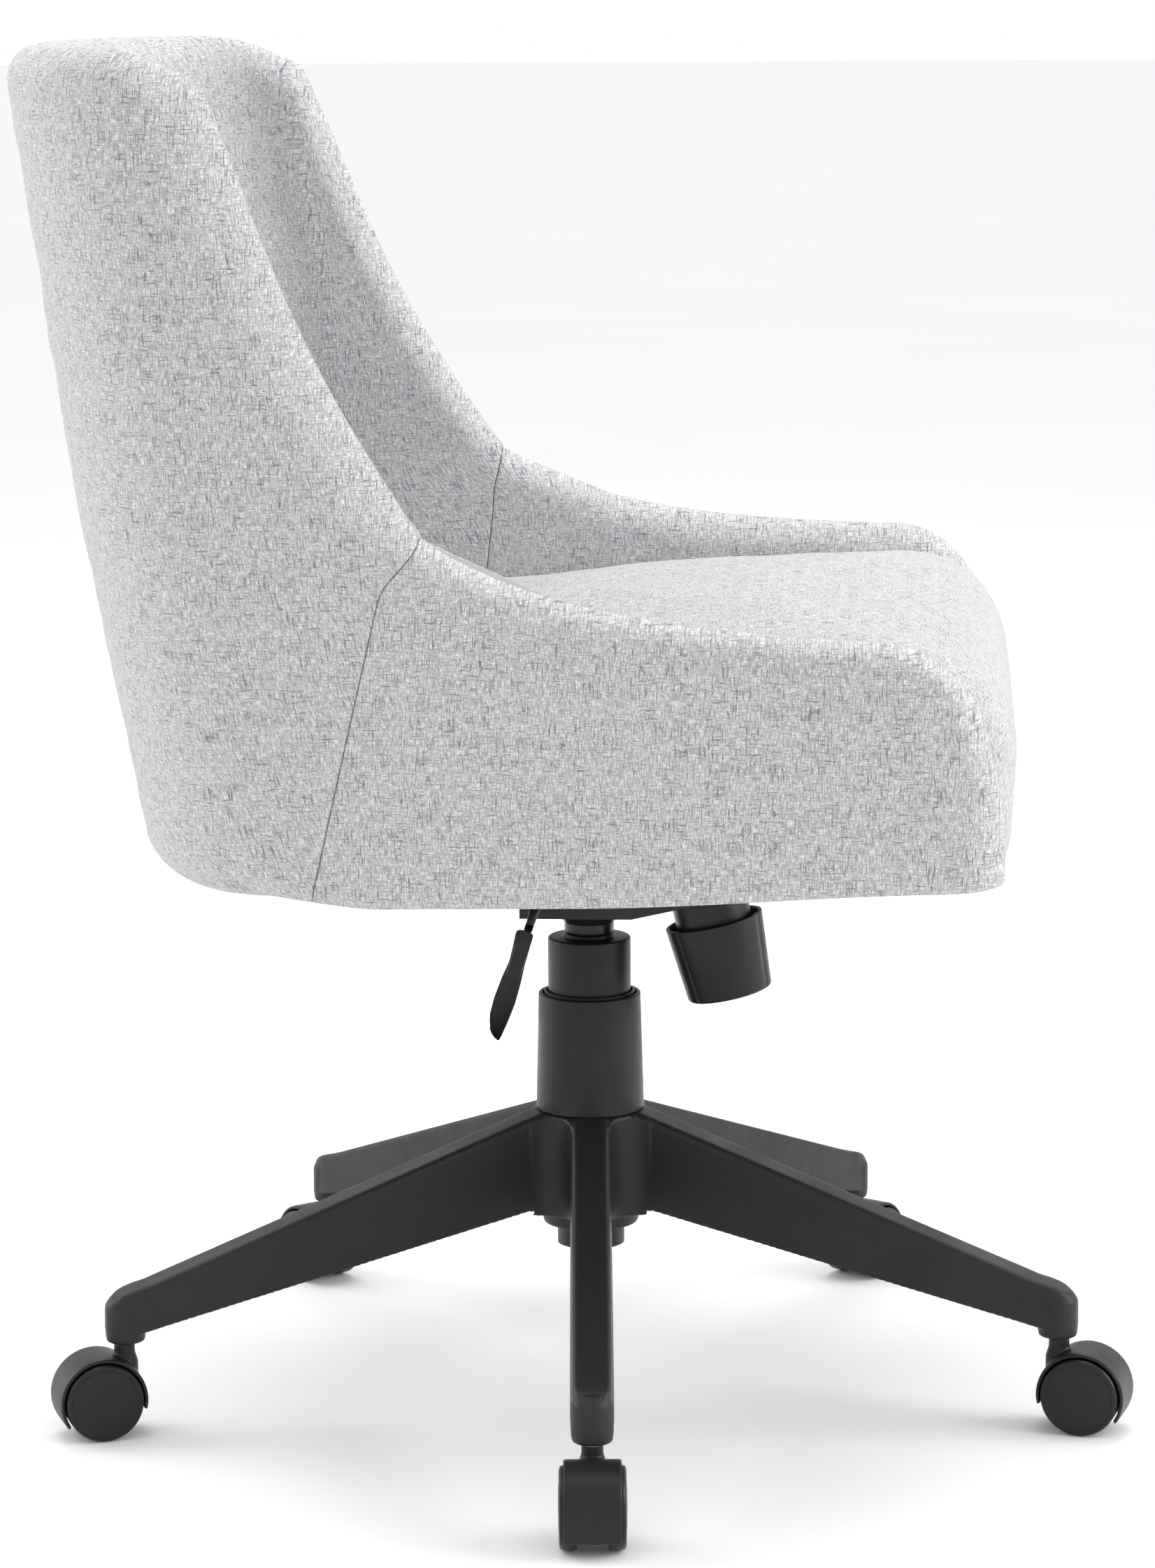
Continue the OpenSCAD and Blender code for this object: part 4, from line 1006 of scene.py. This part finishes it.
def lever():
    """Round bar that bends down into a flat strap, with a leaf-shaped dished grip, hollow side outwards."""
    lean = math.radians(18.4)
    down = Vector((0, math.sin(lean), -math.cos(lean)))
    fore = Vector((0, math.cos(lean), math.sin(lean)))
    path, sect = [], []
    out = Vector((-1, 0, 0))
    for x in (2, 1.2, -40, -90, -130, -152):
        path.append((Vector((x, 20, 356)), fore, down))
        sect.append((4.0 if x < 2 else 3.4, 4.0 if x < 2 else 3.4, 1.0))
    bend = 12.0
    centre = LEVER_TURN - out * bend + down * bend
    for i in range(1, 9):
        a = math.radians(90) * i / 8
        p = centre + out * (bend * math.sin(a)) - down * (bend * math.cos(a))
        tangent = out * math.cos(a) + down * math.sin(a)
        up = fore.cross(tangent)
        f = i / 8
        path.append((p, fore, -up))
        sect.append((4.0 - 1.4 * f, 4.0, 1.0 - 0.35 * f))
    for d in (16, 24, 34, 43, 44):
        path.append((LEVER_TURN + down * d, fore, out))
        sect.append((2.6, 4.0, 0.6) if d < 44 else (2.2, 3.6, 0.6))
    v, f = swept(path, sect)
    rod = make_piece("lever_bar", [Vector(p) / 1000 for p in v], f, POWDER, "lever", sharp=50)
    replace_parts(rod, "lever_rod")
    m = Matrix.Translation(LEVER_TURN) @ Matrix.Rotation(lean, 4, "X")
    heights = [-85.5, -84.1, -81.5, -73.5, -63.5, -50.5, -38.5, -27.0, -18.5, -16.0, -14.8]
    rear_edge = [-3.4, 0.2, 3.3, 6.3, 7.0, 6.4, 5.2, 6.0, 6.8, 6.3, 4.8]
    fore_edge = [-4.6, -5.1, -5.5, -6.3, -6.8, -6.1, -5.0, -4.7, -4.6, -4.2, -3.2]
    rings = []
    for z in np.concatenate([[-85.5, -85.2, -84.7, -83.9, -82.7], np.linspace(-81.5, -17.5, 30),
                             [-16.6, -15.8, -15.2, -14.8]]):
        rear, fore_y = float(np.interp(z, heights, rear_edge)), float(np.interp(z, heights, fore_edge))
        w, mid_y = max(0.4, (rear - fore_y) / 2), (rear + fore_y) / 2
        back_x = -40 + math.sqrt(46.3 ** 2 - (z + 50) ** 2)
        thick = 2.4 + 1.2 * (1 - ((z + 50) / 36) ** 2)
        ring = []
        for k in range(40):
            t = 2 * math.pi * k / 40
            c, s = math.cos(t), math.sin(t)
            y = math.copysign(abs(c) ** 0.75, c) * w
            dish = 2.3 * (1 - (y / w) ** 2) * float(step(w / 6))
            half = thick / 2 * math.copysign(abs(s) ** 0.6, s)
            ring.append((back_x - 3.0 - thick / 2 + half + dish, y + mid_y, z))
        rings.append(ring)
    collar = loft([[(x * a, y * b, z) for x, y in ((-1, -1), (1, -1), (1, 1), (-1, 1))]
                   for a, b, z in ((5.2, 3.9, -48), (5.6, 4.3, -46), (5.4, 4.3, -21), (4.9, 3.9, -19))])
    voxel, keep = ((0.55, 0.5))
    ob = merged("lever_grip", [placed(loft(rings), m), placed(collar, m)], voxel, 5, keep, SATIN,
                "lever")
    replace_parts(ob, "lever_paddle")


lever()

# ---------------------------------------------------------------- materials of the CAD nodes that stay

PLAIN = {
    POWDER: ["column_tube", "pressure_tube", "housing", "seat_plate", "lever_yoke"],
    STEEL: ["thrust_bearing", "piston_rod", "retaining_clip", "release_button", "tilt_shaft", "tension_pin",
            "tension_bolt", "tension_spring", "thrust_washer", "yoke_pin", "plate_bolts", "frame_brackets",
            "frame_screws"] + [f"caster_pins_{k}" for k in range(1, 6)],
    RUBBER: ["rubber_stops"],
    SATIN: ["guide_bush"],
    WOOD: ["seat_board", "back_board", "arm_board_right", "arm_board_left"],
}
for material, names in PLAIN.items():
    for name in names:
        me = NODE[name].data
        me.materials.clear()
        me.materials.append(material)

# ---------------------------------------------------------------- floor, light, camera


def stage():
    bpy.ops.mesh.primitive_plane_add(size=80, location=(0, 0, -0.0004))
    floor = bpy.context.object
    floor.name = "floor"
    s = Shader("pale_floor", (0.93, 0.93, 0.93), 0.8, specular=0.1)
    cloud = s.noise(s.coords(), 1.2, 2.0, 0.5)
    s.color(s.mix(s.span(cloud, 0.3, 0.7), (0.935, 0.935, 0.935), (0.920, 0.920, 0.920)))
    floor.data.materials.append(s.mat)
    world = bpy.data.worlds.new("studio")
    bpy.context.scene.world = world
    world.use_nodes = True
    bg = world.node_tree.nodes["Background"]
    bg.inputs["Color"].default_value = (1.0, 1.0, 1.0, 1)
    bg.inputs["Strength"].default_value = 1.0

    def area(name, loc, aim, size, power):
        light = bpy.data.lights.new(name, "AREA")
        light.shape = "RECTANGLE"
        light.size, light.size_y = size
        light.energy = power
        ob = bpy.data.objects.new(name, light)
        bpy.context.scene.collection.objects.link(ob)
        ob.location = loc
        ob.rotation_euler = (Vector(aim) - Vector(loc)).to_track_quat("-Z", "Y").to_euler()

    area("overhead", (0.5, 0.1, 2.9), (0, 0, 0.4), (2.2, 2.4), 40)
    area("behind", (0.7, 3.0, 1.6), (0, 0, 0.55), (2.2, 2.2), 40)
    area("in_front", (-0.3, -3.1, 1.7), (0, 0.2, 0.6), (2.2, 2.0), 62)


stage()

# the camera, in radians and metres: 3 m from the chair's lever side, looking slightly down
tilt, roll, pan, yaw = 0.1714, -0.0064, -0.0023, -0.0759
reach, height = 9.6991 * STEM_R / 1000, 2.7689 * STEM_R / 1000 + 0.060


def to_chair(w):
    """From the camera's level frame to the chair's, which is turned by yaw and faces -Y."""
    u = w[0] * math.cos(yaw) + w[1] * math.sin(yaw)
    v = -w[0] * math.sin(yaw) + w[1] * math.cos(yaw)
    return Vector((v, -u, w[2]))


ahead = Vector((math.sin(pan) * math.cos(tilt), math.cos(pan) * math.cos(tilt), -math.sin(tilt)))
level_right = Vector((math.cos(pan), -math.sin(pan), 0))
level_up = level_right.cross(ahead)
right = level_right * math.cos(roll) + level_up * math.sin(roll)
up = level_up * math.cos(roll) - level_right * math.sin(roll)
cols = [to_chair(right), to_chair(up), -to_chair(ahead)]
cam_data = bpy.data.cameras.new("camera")
cam_data.sensor_fit = "VERTICAL"
cam_data.sensor_height = 36.0
cam_data.lens = 109.77
cam_data.clip_end = 60
camera = bpy.data.objects.new("camera", cam_data)
bpy.context.scene.collection.objects.link(camera)
camera.matrix_world = Matrix.Translation(to_chair((0, -reach, height))) @ Matrix(cols).transposed().to_4x4()
bpy.context.scene.camera = camera
bpy.context.scene.view_settings.view_transform = "Standard"
